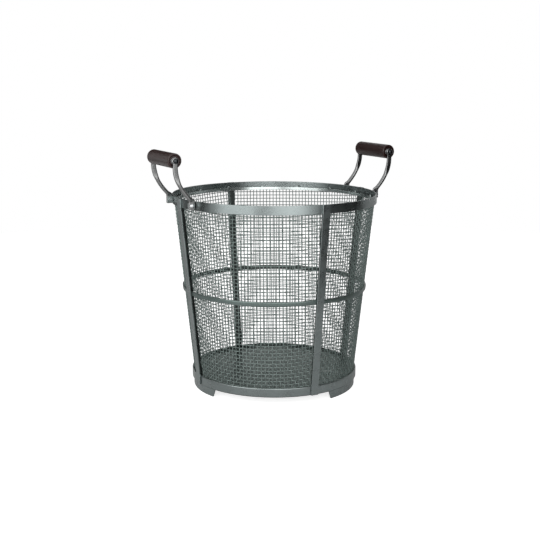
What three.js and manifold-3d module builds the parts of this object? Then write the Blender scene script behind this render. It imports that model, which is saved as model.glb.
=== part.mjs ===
// A round log bin: a tapering basket of wire cloth held in flat steel hoops and upright stays,
// on two curved feet, with a turned grip on two bent arms at each side.
// Millimetres, +Z up, origin on the floor at the centre. The handles stand at +X and -X.
import * as THREE from 'three';
import { mergeVertices } from 'three/addons/utils/BufferGeometryUtils.js';
import Module from 'manifold-3d';

const wasm = await Module();
wasm.setup();

// Clearances
const SEAT_GAP = 0.3;              // between pieces that rest on or in each other
const TURN_GAP = 0.5;              // round the rod, where the grip turns
const SCREW_GAP = 0.3;             // round a bolt or rod in its hole

// Basket sizes
const RIM_HEIGHT = 402;            // floor to the top edge of the top band
const RIM_RADIUS = 210;            // outside of the top band
const BASE_RADIUS = 173;           // outside of the bottom band
const BAND_THICKNESS = 3;
const TOP_BAND_HEIGHT = 18;
const BOTTOM_BAND_HEIGHT = 18;
const FOOT_DROP = 17;              // floor to the lower edge of the bottom band
const PLATE_THICKNESS = 2;
const PLATE_DEPTH = 4.5;           // top of the floor disc below the bottom band's top edge
const RING_CENTRE_HEIGHT = 209;
const RING_HEIGHT = 9;
const STAY_LABELS = ['right', 'back', 'left', 'front'];
const STAY_WIDTH = 16;
const STAY_THICKNESS = 3;
const BAR_WIDTH = 10;              // upright bar behind a stay, which two lengths of cloth meet

// Feet
const FOOT_THICKNESS = 3;
const FOOT_ARC = 90;               // degrees of the hoop that one foot covers at the floor
const FOOT_END_SLOPE = 21;         // degrees that a foot's ends lean out towards the top
const FOOT_CENTRE = -29.5;         // degrees from +X to the middle of the right foot

// Wire cloth, as a coarse net
const CLOTH_THICKNESS = 2.6;       // two wires, one over the other
const CLOTH_LAP = 7;               // cloth that reaches up inside the top band
const PANELS_PER_STAY = 2;         // cloth panels from one stay to the next
const PANEL_GAP = 1.2;             // between two panels
const NET_COLUMNS = 4;             // openings across one panel
const NET_ROWS = 8;                // openings up one panel
const NET_BAR = 5;                 // width of the bars between the openings

// Hoop inside the rim, which holds the cloth's top edge
const CLAMP_THICKNESS = 1.6;
const CLAMP_HEIGHT = 6.5;
const EAR_COUNT = 16;
const EAR_WIDTH = 8;
const EAR_HEIGHT = 4.5;
const EAR_ROOT = 1;                // ear that is one with the hoop, below its top edge
const EAR_START = 2.8;             // degrees from +X to the first ear

// Handles
const GRIP_REACH = 32;             // grip axis outside the rim
const GRIP_RISE = 79;              // grip axis above the rim
const GRIP_LENGTH = 110;
const GRIP_DIAMETER = 29;
const GRIP_CHAMFER = 1.6;
const GRIP_END_RING = 3.4;         // flat ring round the dished end
const DISH_DEPTH = 2.2;
const ROD_DIAMETER = 6;
const WASHER_DIAMETER = 14;
const ARM_DIAMETER = 8;
const EYE_WIDTH = 13.5;
const EYE_THICKNESS = 4;
const EYE_FLARE = 3.5;             // eye wider than the flat neck below it
const NECK_LENGTH = 13;            // straight flat neck below the middle of the eye
const TAB_WIDTH = 12.5;
const TAB_THICKNESS = 4;
const TAB_END = 7.5;               // middle of the bolt to the tab's lower end
const TAB_RISE = 2.5;              // straight tab above the lug and the bolt's head
const TAB_CORNER = 1.6;
const LUG_THICKNESS = 3;
const LUG_HEIGHT = 12;
const LOWER_BEND = 3;              // control arm of the bend at the rim
const UPPER_BEND = 40;             // control arm of the bend below the grip
const TAB_BLEND = 0.28;            // share of the bend where the tab has become a round rod
const NECK_BLEND_START = 0.66;     // share of the bend where the rod starts to flatten
const NECK_BLEND_END = 0.84;       // share of the bend where the flat neck is reached
const ROUND_BAR = 2;               // power of a round section's outline
const FLAT_BAR = 5;                // power of a flat section's outline, with rounded corners

// Fasteners
const BOLT_DIAMETER = 4;
const BOLT_DROP = 8.5;             // middle of a lower bolt below the rim
const BOLT_HEAD_DIAMETER = 10.5;
const BOLT_HEAD_EDGE = 0.8;
const BOLT_HEAD_DOME = 2.8;
const NUT_WIDTH = 7;               // across the flats
const NUT_HEIGHT = 3.2;
const BOLT_END = 1;                // thread that stands out of the nut
const CAP_DIAMETER = 10;
const CAP_EDGE = 3;
const CAP_DOME = 3;
const CAP_BORE_DEPTH = 4;
const DRILL_LENGTH = 12;

// Facets
const HOOP_SEGMENTS = 64;
const GRIP_SEGMENTS = 20;
const ROUND_SEGMENTS = 12;
const ARM_SIDES = 10;
const DOME_STEPS = 3;
const RING_STEPS = 6;
const EYE_STEPS = 8;
const BEND_STEP = 0.13;            // share of an arm's bend between two sections

// Materials
const FRAME_PAINT = { color: 0x6c7a75, roughness: 0.42, metalness: 0.55 };
const CLOTH_WIRE = { color: 0x55605c, roughness: 0.5, metalness: 0.5 };
const ARM_STEEL = { color: 0x8e9490, roughness: 0.32, metalness: 0.8 };
const GRIP_WOOD = { color: 0x2a1d1a, roughness: 0.3, metalness: 0 };
const DARK_STEEL = { color: 0x2c3033, roughness: 0.3, metalness: 0.8 };
const BRIGHT_STEEL = { color: 0xb4b8b8, roughness: 0.3, metalness: 0.9 };

// Sizes that follow from the ones above
const rad = THREE.MathUtils.degToRad;
const facetFlat = Math.cos(Math.PI / HOOP_SEGMENTS);
const insideHoop = (radius) => radius * facetFlat - SEAT_GAP;
const rimInner = RIM_RADIUS - BAND_THICKNESS;
const baseInner = BASE_RADIUS - BAND_THICKNESS;
const topBandLow = RIM_HEIGHT - TOP_BAND_HEIGHT;
const bottomBandTop = FOOT_DROP + BOTTOM_BAND_HEIGHT;
const plateTop = bottomBandTop - PLATE_DEPTH;
const plateUnder = plateTop - PLATE_THICKNESS;
const clothLow = plateTop + SEAT_GAP;
const clothTop = topBandLow + CLOTH_LAP;
const clothSlope = (insideHoop(rimInner) - insideHoop(baseInner)) / (clothTop - bottomBandTop);
const clothOuter = (z) => insideHoop(baseInner) + (z - bottomBandTop) * clothSlope;
const clothInner = (z) => clothOuter(z) - CLOTH_THICKNESS;
const stayAngle = (2 * Math.PI) / STAY_LABELS.length;
const panelAngle = stayAngle / PANELS_PER_STAY;
const netStep = panelAngle / NET_COLUMNS;
const clothInnerFlat = (z) => clothInner(z) * Math.cos(netStep / 2);
const stayTopRadius = RIM_RADIUS + SEAT_GAP;
const stayBaseRadius = BASE_RADIUS + SEAT_GAP;
const staySlope = (stayTopRadius - stayBaseRadius) / (topBandLow - bottomBandTop);
const stayInner = (z) => stayBaseRadius + (z - bottomBandTop) * staySlope;

const neckWidth = EYE_WIDTH - EYE_FLARE;
const gripX = RIM_RADIUS + GRIP_REACH;
const gripZ = RIM_HEIGHT + GRIP_RISE;
const armPlane = GRIP_LENGTH / 2 + SEAT_GAP + EYE_THICKNESS / 2;
const besideRim = (y) => Math.sqrt(RIM_RADIUS ** 2 - y ** 2) + SEAT_GAP;
const tabInside = armPlane - TAB_THICKNESS / 2;
const tabOutside = armPlane + TAB_THICKNESS / 2;
const tabX = besideRim(tabInside) + TAB_WIDTH / 2;
const lugOutside = tabInside - SEAT_GAP;
const lugInside = lugOutside - LUG_THICKNESS;
const nutOutside = lugInside - SEAT_GAP;
const boltZ = RIM_HEIGHT - BOLT_DROP;

// A named piece with a material of its own
function piece(name, geometry, finish) {
  const mesh = new THREE.Mesh(geometry, new THREE.MeshStandardMaterial(finish));
  mesh.name = name;
  return mesh;
}

// A closed profile of radius and height, turned about Z
function turned(profile, segments) {
  const points = profile.map(([radius, height]) => new THREE.Vector2(radius, height));
  return new THREE.LatheGeometry(points, segments).rotateX(Math.PI / 2);
}

// A hoop whose section's corners are given in order, from its low inside edge out and up
function hoop(corners) {
  return turned([...corners, corners[0]], HOOP_SEGMENTS);
}

function toSolid(geometry) {
  const bare = geometry.clone();
  bare.deleteAttribute('normal');
  bare.deleteAttribute('uv');
  const merged = mergeVertices(bare, 1e-4);
  const vertProperties = new Float32Array(merged.attributes.position.array);
  const triVerts = new Uint32Array(merged.index.array);
  return new wasm.Manifold(new wasm.Mesh({ numProp: 3, vertProperties, triVerts }));
}

function toGeometry(solid) {
  const mesh = solid.getMesh();
  const geometry = new THREE.BufferGeometry();
  geometry.setAttribute('position', new THREE.BufferAttribute(mesh.vertProperties, 3));
  geometry.setIndex(new THREE.BufferAttribute(mesh.triVerts, 1));
  return geometry;
}

function cut(geometry, tools) {
  return toGeometry(tools.reduce((left, tool) => left.subtract(toSolid(tool)), toSolid(geometry)));
}

function join(geometry, others) {
  return toGeometry(others.reduce((left, other) => left.add(toSolid(other)), toSolid(geometry)));
}

// A sheet with thickness on a grid of cells. place(column, row, side) gives a grid point on the
// inner side (0) or the outer side (1), and isSolid(column, row) says which cells are material.
function gridSheet(columns, rows, isSolid, place) {
  const positions = [];
  const cellCorners = [[0, 0], [1, 0], [1, 1], [0, 1]];
  const quad = (a, b, c, d) => [a, b, c, a, c, d].forEach((point) => positions.push(...point.toArray()));
  const filled = (i, j) => i >= 0 && j >= 0 && i < columns && j < rows && isSolid(i, j);
  for (let i = 0; i < columns; i += 1) {
    for (let j = 0; j < rows; j += 1) {
      if (!filled(i, j)) continue;
      const [in00, in10, in11, in01] = cellCorners.map(([u, v]) => place(i + u, j + v, 0));
      const [out00, out10, out11, out01] = cellCorners.map(([u, v]) => place(i + u, j + v, 1));
      quad(out00, out10, out11, out01);
      quad(in00, in01, in11, in10);
      if (!filled(i, j - 1)) quad(in00, in10, out10, out00);
      if (!filled(i, j + 1)) quad(in01, out01, out11, in11);
      if (!filled(i - 1, j)) quad(in00, out00, out01, in01);
      if (!filled(i + 1, j)) quad(in10, in11, out11, out10);
    }
  }
  const geometry = new THREE.BufferGeometry();
  geometry.setAttribute('position', new THREE.Float32BufferAttribute(positions, 3));
  return mergeVertices(geometry, 1e-4);
}

function onHoop(radius, angle, height) {
  return new THREE.Vector3(radius * Math.cos(angle), radius * Math.sin(angle), height);
}

// A solid through sections of equal point counts, closed by a fan at each end
function loft(sections) {
  const sides = sections[0].length;
  const points = sections.flat();
  const index = [];
  for (let s = 0; s < sections.length - 1; s += 1) {
    for (let k = 0; k < sides; k += 1) {
      const a = s * sides + k;
      const b = s * sides + ((k + 1) % sides);
      index.push(a, b, b + sides, a, b + sides, a + sides);
    }
  }
  const last = (sections.length - 1) * sides;
  for (let k = 1; k < sides - 1; k += 1) {
    index.push(0, k + 1, k, last, last + k, last + k + 1);
  }
  const geometry = new THREE.BufferGeometry().setFromPoints(points);
  geometry.setIndex(index);
  return geometry;
}

// A drill along Y for a rod or bolt of given diameter
function drill(diameter, x, y, z) {
  const radius = diameter / 2 + SCREW_GAP;
  return new THREE.CylinderGeometry(radius, radius, DRILL_LENGTH, ROUND_SEGMENTS).translate(x, y, z);
}

// Basket
function basePlate() {
  const radius = insideHoop(baseInner);
  return turned([[0, plateUnder], [radius, plateUnder], [radius, plateTop], [0, plateTop]], HOOP_SEGMENTS);
}

function bottomBand() {
  return hoop([
    [baseInner, FOOT_DROP], [BASE_RADIUS, FOOT_DROP],
    [BASE_RADIUS, bottomBandTop], [baseInner, bottomBandTop],
  ]);
}

function footStrip(centre) {
  const outer = insideHoop(baseInner);
  const top = plateUnder - SEAT_GAP;
  const spread = Math.tan(rad(FOOT_END_SLOPE)) / outer;
  const columns = Math.ceil(FOOT_ARC / (360 / HOOP_SEGMENTS));
  const place = (i, j, side) => {
    const height = j * top;
    const half = rad(FOOT_ARC) / 2 + height * spread;
    const angle = centre + half * ((2 * i) / columns - 1);
    return onHoop(outer - (1 - side) * FOOT_THICKNESS, angle, height);
  };
  return gridSheet(columns, 1, () => true, place);
}

// A half-oval hoop: its back lies on the cloth's cone and its crown just clears the stays
function midRing() {
  const low = RING_CENTRE_HEIGHT - RING_HEIGHT / 2;
  const crown = stayInner(low) - SEAT_GAP - clothOuter(RING_CENTRE_HEIGHT) - SEAT_GAP;
  const profile = Array.from({ length: RING_STEPS + 1 }, (_, k) => {
    const turn = (Math.PI * k) / RING_STEPS;
    const height = RING_CENTRE_HEIGHT - (Math.cos(turn) * RING_HEIGHT) / 2;
    return [clothOuter(height) + SEAT_GAP + crown * Math.sin(turn), height];
  });
  return hoop(profile);
}

function topBand() {
  return hoop([
    [rimInner, topBandLow], [RIM_RADIUS, topBandLow],
    [RIM_RADIUS, RIM_HEIGHT], [rimInner, RIM_HEIGHT],
  ]);
}

function clampHoop() {
  const outer = (z) => clothInnerFlat(z) - SEAT_GAP;
  const top = topBandLow + CLAMP_HEIGHT;
  const blank = hoop([
    [outer(topBandLow) - CLAMP_THICKNESS, topBandLow], [outer(topBandLow), topBandLow],
    [outer(top), top], [outer(top) - CLAMP_THICKNESS, top],
  ]);
  const outline = new THREE.Shape([
    new THREE.Vector2(-EAR_WIDTH / 2, -EAR_ROOT), new THREE.Vector2(EAR_WIDTH / 2, -EAR_ROOT),
    new THREE.Vector2(EAR_WIDTH / 2, 0), new THREE.Vector2(0, EAR_HEIGHT),
    new THREE.Vector2(-EAR_WIDTH / 2, 0),
  ]);
  const flat = new THREE.ExtrudeGeometry(outline, { depth: CLAMP_THICKNESS, bevelEnabled: false });
  flat.rotateX(Math.PI / 2).rotateZ(Math.PI / 2).translate(outer(top) * facetFlat - CLAMP_THICKNESS, 0, top);
  const ears = Array.from({ length: EAR_COUNT }, (_, k) => (
    flat.clone().rotateZ(rad(EAR_START) + (2 * Math.PI * k) / EAR_COUNT)
  ));
  return join(blank, ears);
}

// One panel of the wire cloth, as a net of bars that follows the cone. before and after are the
// clear lengths that it leaves at its two upright edges.
function clothPanel(start, before, after) {
  const columns = 2 * NET_COLUMNS + 1;
  const rows = 2 * NET_ROWS + 1;
  const slant = (clothTop - clothLow) / NET_ROWS;
  const heightOf = (j) => {
    const edge = Math.floor(j / 2) * slant + (j % 2 ? NET_BAR / 2 : -NET_BAR / 2);
    return clothLow + THREE.MathUtils.clamp(edge, 0, clothTop - clothLow);
  };
  const place = (i, j, side) => {
    const height = heightOf(j);
    const radius = side ? clothOuter(height) : clothInner(height);
    const bar = NET_BAR / 2 / clothOuter(height);
    const first = Math.asin(before / clothInner(height));
    const last = panelAngle - Math.asin(after / clothInner(height));
    const line = THREE.MathUtils.lerp(first, last, Math.floor(i / 2) / NET_COLUMNS);
    const edge = line + (i % 2 ? bar : -bar);
    return onHoop(radius, start + THREE.MathUtils.clamp(edge, first, last), height);
  };
  return gridSheet(columns, rows, (i, j) => i % 2 === 0 || j % 2 === 0, place);
}

// A flat strip outside the hoops: upright on both bands, leaning between them
function stay() {
  const line = [
    [stayBaseRadius, FOOT_DROP], [stayBaseRadius, bottomBandTop],
    [stayTopRadius, topBandLow], [stayTopRadius, RIM_HEIGHT],
  ];
  const outer = line.map(([radius, height]) => new THREE.Vector2(radius + STAY_THICKNESS, height));
  const inner = line.map(([radius, height]) => new THREE.Vector2(radius, height)).reverse();
  const outline = new THREE.Shape([...outer, ...inner]);
  const strip = new THREE.ExtrudeGeometry(outline, { depth: STAY_WIDTH, bevelEnabled: false });
  return strip.translate(0, 0, -STAY_WIDTH / 2).rotateX(Math.PI / 2);
}

// An upright bar from the cloth's inner side to the back of its stay, notched for the mid ring
function uprightBar() {
  const low = bottomBandTop + SEAT_GAP;
  const top = topBandLow - SEAT_GAP;
  const notchLow = RING_CENTRE_HEIGHT - RING_HEIGHT / 2 - SEAT_GAP;
  const notchTop = RING_CENTRE_HEIGHT + RING_HEIGHT / 2 + SEAT_GAP;
  const back = (z) => stayInner(z) - SEAT_GAP;
  const outline = new THREE.Shape([
    [clothInner(low), low], [back(low), low],
    [back(notchLow), notchLow], [clothOuter(notchLow), notchLow],
    [clothOuter(notchTop), notchTop], [back(notchTop), notchTop],
    [back(top), top], [clothInner(top), top],
  ].map(([radius, height]) => new THREE.Vector2(radius, height)));
  const bar = new THREE.ExtrudeGeometry(outline, { depth: BAR_WIDTH, bevelEnabled: false });
  return bar.translate(0, 0, -BAR_WIDTH / 2).rotateX(Math.PI / 2);
}

// Handle, built at +X. side is -1 for the front arm and 1 for the back arm.
function armSection(centre, lean, halfDepth, halfWidth, squareness) {
  const points = [];
  const round = (value) => Math.sign(value) * Math.abs(value) ** (2 / squareness);
  const depthAxis = new THREE.Vector3(Math.cos(lean), 0, -Math.sin(lean));
  const widthAxis = new THREE.Vector3(0, 1, 0);
  for (let k = 0; k < ARM_SIDES; k += 1) {
    const turn = (2 * Math.PI * (k + 0.5)) / ARM_SIDES;
    const point = centre.clone();
    point.addScaledVector(depthAxis, halfDepth * round(Math.cos(turn)));
    point.addScaledVector(widthAxis, halfWidth * round(Math.sin(turn)));
    points.push(point);
  }
  return points;
}

function arm(side) {
  const y = side * armPlane;
  const tabLow = boltZ - TAB_END;
  const bendLow = boltZ + Math.max(BOLT_HEAD_DIAMETER, LUG_HEIGHT) / 2 + TAB_RISE;
  const bendTop = gripZ - NECK_LENGTH;
  const bend = new THREE.CubicBezierCurve3(
    new THREE.Vector3(tabX, y, bendLow), new THREE.Vector3(tabX, y, bendLow + LOWER_BEND),
    new THREE.Vector3(gripX, y, bendTop - UPPER_BEND), new THREE.Vector3(gripX, y, bendTop),
  );
  const tab = { depth: TAB_WIDTH / 2, width: TAB_THICKNESS / 2, square: FLAT_BAR };
  const rod = { depth: ARM_DIAMETER / 2, width: ARM_DIAMETER / 2, square: ROUND_BAR };
  const neck = { depth: neckWidth / 2, width: EYE_THICKNESS / 2, square: FLAT_BAR };
  const mix = (from, to, share) => Object.fromEntries(Object.keys(from).map((key) => (
    [key, THREE.MathUtils.lerp(from[key], to[key], share)]
  )));
  const sections = [];
  const add = (centre, lean, shape) => sections.push(
    armSection(centre, lean, shape.depth, shape.width, shape.square),
  );
  const at = (x, z) => new THREE.Vector3(x, y, z);
  add(at(tabX, tabLow), 0, { ...tab, depth: tab.depth - TAB_CORNER });
  add(at(tabX, tabLow + TAB_CORNER), 0, tab);
  const stops = [0, TAB_BLEND, NECK_BLEND_START, NECK_BLEND_END, 1];
  const shares = [stops[0]];
  for (let k = 1; k < stops.length; k += 1) {
    const steps = Math.ceil((stops[k] - stops[k - 1]) / BEND_STEP);
    for (let n = 1; n <= steps; n += 1) {
      shares.push(THREE.MathUtils.lerp(stops[k - 1], stops[k], n / steps));
    }
  }
  for (const share of shares) {
    const tangent = bend.getTangent(share);
    const lean = Math.atan2(tangent.x, tangent.z);
    const low = THREE.MathUtils.smoothstep(share, 0, TAB_BLEND);
    const high = THREE.MathUtils.smoothstep(share, NECK_BLEND_START, NECK_BLEND_END);
    add(bend.getPoint(share), lean, mix(mix(tab, rod, low), neck, high));
  }
  const eyeRadius = EYE_WIDTH / 2;
  const eyeJoint = Math.asin(neckWidth / EYE_WIDTH);
  for (let k = 0; k < EYE_STEPS; k += 1) {
    const turn = (Math.PI - eyeJoint) * (1 - k / EYE_STEPS);
    add(at(gripX, gripZ + eyeRadius * Math.cos(turn)), 0, { ...neck, depth: eyeRadius * Math.sin(turn) });
  }
  return cut(loft(sections), [
    drill(ROD_DIAMETER, gripX, y, gripZ), drill(BOLT_DIAMETER, tabX, y, boltZ),
  ]);
}

// A square plate that stands out from the top band, on the inner side of a tab
function lug(side) {
  const tip = tabX + TAB_WIDTH / 2;
  const outline = new THREE.Shape([
    [besideRim(lugInside), lugInside], [tip, lugInside],
    [tip, lugOutside], [besideRim(lugOutside), lugOutside],
  ].map(([x, y]) => new THREE.Vector2(x, side * y)));
  const plate = new THREE.ExtrudeGeometry(outline, { depth: LUG_HEIGHT, bevelEnabled: false });
  plate.translate(0, 0, boltZ - LUG_HEIGHT / 2);
  return cut(plate, [drill(BOLT_DIAMETER, tabX, side * lugOutside, boltZ)]);
}

function grip() {
  const half = GRIP_LENGTH / 2;
  const radius = GRIP_DIAMETER / 2;
  const bore = ROD_DIAMETER / 2 + TURN_GAP;
  const dish = radius - GRIP_END_RING;
  const floor = half - DISH_DEPTH;
  return turned([
    [bore, -floor], [dish, -floor], [dish, -half], [radius - GRIP_CHAMFER, -half],
    [radius, -half + GRIP_CHAMFER], [radius, half - GRIP_CHAMFER], [radius - GRIP_CHAMFER, half],
    [dish, half], [dish, floor], [bore, floor], [bore, -floor],
  ], GRIP_SEGMENTS).rotateX(Math.PI / 2);
}

const eyeOutside = armPlane + EYE_THICKNESS / 2;

function gripRod() {
  const end = eyeOutside + CAP_BORE_DEPTH;
  return new THREE.CylinderGeometry(ROD_DIAMETER / 2, ROD_DIAMETER / 2, 2 * end, ROUND_SEGMENTS);
}

// A spacer in the dished end, between the grip and the eye
function washer() {
  const bore = ROD_DIAMETER / 2 + SCREW_GAP;
  const low = GRIP_LENGTH / 2 - DISH_DEPTH + SEAT_GAP;
  const top = GRIP_LENGTH / 2;
  const radius = WASHER_DIAMETER / 2;
  return turned(
    [[bore, low], [radius, low], [radius, top], [bore, top], [bore, low]], ROUND_SEGMENTS,
  ).rotateX(-Math.PI / 2);
}

// Profile points of a dome, from its edge to its crown on the axis
function dome(radius, low, height) {
  return Array.from({ length: DOME_STEPS + 1 }, (_, k) => {
    const turn = (Math.PI / 2) * (k / DOME_STEPS);
    return [k === DOME_STEPS ? 0 : radius * Math.cos(turn), low + height * Math.sin(turn)];
  });
}

function capNut() {
  const bore = ROD_DIAMETER / 2 + SCREW_GAP;
  const low = eyeOutside + SEAT_GAP;
  const radius = CAP_DIAMETER / 2;
  const boreEnd = low + CAP_BORE_DEPTH;
  return turned([
    [bore, low], [radius, low], ...dome(radius, low + CAP_EDGE, CAP_DOME),
    [0, boreEnd], [bore, boreEnd], [bore, low],
  ], ROUND_SEGMENTS).rotateX(-Math.PI / 2);
}

// A domed bolt along +Y, through a tab and its lug
function footBolt() {
  const head = tabOutside + SEAT_GAP;
  const end = nutOutside - NUT_HEIGHT - BOLT_END;
  const radius = BOLT_HEAD_DIAMETER / 2;
  const shank = BOLT_DIAMETER / 2;
  return turned([
    [0, end], [shank, end], [shank, head], [radius, head],
    ...dome(radius, head + BOLT_HEAD_EDGE, BOLT_HEAD_DOME),
  ], ROUND_SEGMENTS).rotateX(-Math.PI / 2);
}

function footNut() {
  const corner = NUT_WIDTH / 2 / Math.cos(Math.PI / 6);
  const outline = new THREE.Shape(Array.from({ length: 6 }, (_, k) => {
    const turn = ((k + 0.5) * Math.PI) / 3;
    return new THREE.Vector2(corner * Math.cos(turn), corner * Math.sin(turn));
  }));
  outline.holes.push(new THREE.Path().absarc(0, 0, BOLT_DIAMETER / 2 + SCREW_GAP, 0, 2 * Math.PI, true));
  const options = { depth: NUT_HEIGHT, bevelEnabled: false, curveSegments: ROUND_SEGMENTS };
  const nut = new THREE.ExtrudeGeometry(outline, options);
  return nut.rotateX(Math.PI / 2).translate(0, nutOutside, 0);
}

function handle(label) {
  const group = new THREE.Group();
  for (const [end, side] of [['front', -1], ['back', 1]]) {
    const tag = `${label}_${end}`;
    group.add(piece(`arm_${tag}`, arm(side), ARM_STEEL), piece(`lug_${tag}`, lug(side), FRAME_PAINT));
    const onGrip = [
      piece(`washer_${tag}`, washer(), BRIGHT_STEEL),
      piece(`cap_nut_${tag}`, capNut(), DARK_STEEL),
    ];
    onGrip.forEach((item) => item.position.set(gripX, 0, gripZ));
    const onLug = [
      piece(`foot_bolt_${tag}`, footBolt(), BRIGHT_STEEL),
      piece(`foot_nut_${tag}`, footNut(), BRIGHT_STEEL),
    ];
    onLug.forEach((item) => item.position.set(tabX, 0, boltZ));
    const fasteners = [...onGrip, ...onLug];
    fasteners.forEach((item) => {
      item.rotation.z = side > 0 ? 0 : Math.PI;
    });
    group.add(...fasteners);
  }
  const gripMesh = piece(`grip_${label}`, grip(), GRIP_WOOD);
  const rodMesh = piece(`grip_rod_${label}`, gripRod(), DARK_STEEL);
  gripMesh.position.set(gripX, 0, gripZ);
  rodMesh.position.set(gripX, 0, gripZ);
  group.add(gripMesh, rodMesh);
  return group;
}

// Assembly
const logBin = new THREE.Group();
logBin.add(
  piece('base_plate', basePlate(), FRAME_PAINT),
  piece('bottom_band', bottomBand(), FRAME_PAINT),
  piece('foot_right', footStrip(rad(FOOT_CENTRE)), FRAME_PAINT),
  piece('foot_left', footStrip(rad(FOOT_CENTRE) + Math.PI), FRAME_PAINT),
  piece('mid_ring', midRing(), FRAME_PAINT),
  piece('top_band', topBand(), FRAME_PAINT),
  piece('clamp_hoop', clampHoop(), FRAME_PAINT),
);
STAY_LABELS.forEach((label, k) => {
  const uprights = [
    piece(`stay_${label}`, stay(), FRAME_PAINT),
    piece(`upright_bar_${label}`, uprightBar(), FRAME_PAINT),
  ];
  uprights.forEach((item) => {
    item.rotation.z = k * stayAngle;
  });
  logBin.add(...uprights);
  const atBar = BAR_WIDTH / 2 + SEAT_GAP;
  for (let n = 0; n < PANELS_PER_STAY; n += 1) {
    const panel = k * PANELS_PER_STAY + n;
    const before = n === 0 ? atBar : PANEL_GAP / 2;
    const after = n === PANELS_PER_STAY - 1 ? atBar : PANEL_GAP / 2;
    const cloth = clothPanel(panel * panelAngle, before, after);
    logBin.add(piece(`cloth_panel_${panel + 1}`, cloth, CLOTH_WIRE));
  }
});
const rightHandle = handle('right');
const leftHandle = handle('left');
leftHandle.rotation.z = Math.PI;
logBin.add(rightHandle, leftHandle);

export default logBin;
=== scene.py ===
"""Looks of a round log bin: woven wire cloth in a painted steel frame, with a turned grip at each side.

Metres, +Z up, with the origin on the floor at the middle of the bin. The main sizes come from the boxes of
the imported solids, and the finer ones are fields of each sub-assembly.
"""

import logging
import math
from dataclasses import dataclass, field
from enum import Enum
from typing import Callable, Sequence

import bmesh
import bpy
from mathutils import Matrix, Vector


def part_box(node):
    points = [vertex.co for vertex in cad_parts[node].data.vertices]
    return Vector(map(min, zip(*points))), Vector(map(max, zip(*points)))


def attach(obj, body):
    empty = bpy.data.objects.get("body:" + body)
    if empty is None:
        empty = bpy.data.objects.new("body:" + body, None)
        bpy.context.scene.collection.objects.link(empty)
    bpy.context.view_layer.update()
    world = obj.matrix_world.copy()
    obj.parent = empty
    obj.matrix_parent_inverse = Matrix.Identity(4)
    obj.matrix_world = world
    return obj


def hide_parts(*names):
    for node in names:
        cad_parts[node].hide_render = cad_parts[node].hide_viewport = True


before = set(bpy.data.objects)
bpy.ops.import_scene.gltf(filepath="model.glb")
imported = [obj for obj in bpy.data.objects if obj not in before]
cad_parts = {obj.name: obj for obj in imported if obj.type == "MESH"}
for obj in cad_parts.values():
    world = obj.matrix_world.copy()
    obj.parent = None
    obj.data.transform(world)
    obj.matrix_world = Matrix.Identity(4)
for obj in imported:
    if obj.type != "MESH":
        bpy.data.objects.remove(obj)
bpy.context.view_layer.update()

Point = tuple[float, float]
Colour = tuple[float, float, float, float]

LOG = logging.getLogger("log_bin")
MM = 0.001
WHOLE_TURN = 2 * math.pi
HALF_TURN = math.pi
QUARTER_TURN = math.pi / 2
ALONG_Y = Vector((0, 1, 0))
WHITE: Colour = (1, 1, 1, 1)
SEAT = 0.05 * MM         # between painted pieces that lie on each other
ROUNDING = 1e-9          # slack when lengths are compared
MERGE_GAP = 1e-7         # under which two points of a skin are one
POLE_GAP = 1e-6          # under which a ring is a pole
SHARP_DEGREES = 40.0     # between two faces, past which their edge is drawn sharp
FACING = 0.5             # past which a face counts as looking outwards or inwards


class Body(Enum):
    """The bodies that pieces ride on."""

    BASKET = "basket"
    RIGHT_GRIP = "right_grip"
    LEFT_GRIP = "left_grip"


class Slot(Enum):
    """The material slots of the record."""

    FRAME = "frame_paint"
    WIRE = "cloth_wire"
    ARM = "arm_steel"
    WOOD = "grip_wood"
    DARK = "dark_steel"
    BRIGHT = "bright_steel"


class Lay(Enum):
    """The two directions of wire in the cloth, with the side that each passes at its first crossing."""

    WARP = 1.0
    WEFT = -1.0


# Outlines and skins


def spaced(end: float, steps: int) -> list[float]:
    """Values from 0 to an end, in equal steps."""
    return [end * k / steps for k in range(steps + 1)]


def squared_oval(turn: float, power: float) -> Point:
    """A point on an oval of radius 1, which is a circle at a power of 2 and squarer above it."""
    x, y = (math.copysign(abs(v) ** (2 / power), v) for v in (math.cos(turn), math.sin(turn)))
    return x, y


def corners_of(inner: float, outer: float, low: float, high: float) -> list[Point]:
    """The corners of a rectangle, in order."""
    return [(inner, low), (outer, low), (outer, high), (inner, high)]


def rounded_outline(
    corners: Sequence[Point],
    radii: float | Sequence[float],
    closed: bool = True,
    steps: int = 4,
    support: float = 0.15 * MM,
) -> list[Point]:
    """Rounds the corners of an outline and keeps the flats beside them flat.

    Args:
        corners: The sharp corners, in order.
        radii: One radius for all corners, or one for each.
        closed: Whether the last corner joins the first. An open outline keeps its two ends.
        steps: Steps in each rounded corner.
        support: Distance from a rounded corner to the extra point on each flat, or 0 for none.

    Returns:
        The points of the rounded outline.
    """
    count = len(corners)
    each = [radii] * count if isinstance(radii, (int, float)) else list(radii)
    points: list[Point] = []
    for k, corner in enumerate(corners):
        if each[k] <= 0 or (not closed and k in (0, count - 1)):
            points.append(tuple(corner))
            continue
        here = Vector(corner)
        back = (Vector(corners[k - 1]) - here).normalized()
        ahead = (Vector(corners[(k + 1) % count]) - here).normalized()
        half = back.angle(ahead) / 2
        reach = each[k] / math.tan(half)
        centre = here + (back + ahead).normalized() * (each[k] / math.sin(half))
        start = here + back * reach - centre
        sweep = start.angle_signed(here + ahead * reach - centre)
        if support:
            points.append(tuple(here + back * (reach + support)))
        for turn in spaced(-sweep, steps):
            points.append(tuple(centre + Matrix.Rotation(turn, 2) @ start))
        if support:
            points.append(tuple(here + ahead * (reach + support)))
    return points


def rectangle(width: float, height: float, edge: float) -> list[Point]:
    """A centred rectangle with rounded corners."""
    x, y = width / 2, height / 2
    return rounded_outline(corners_of(-x, x, -y, y), edge)


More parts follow.
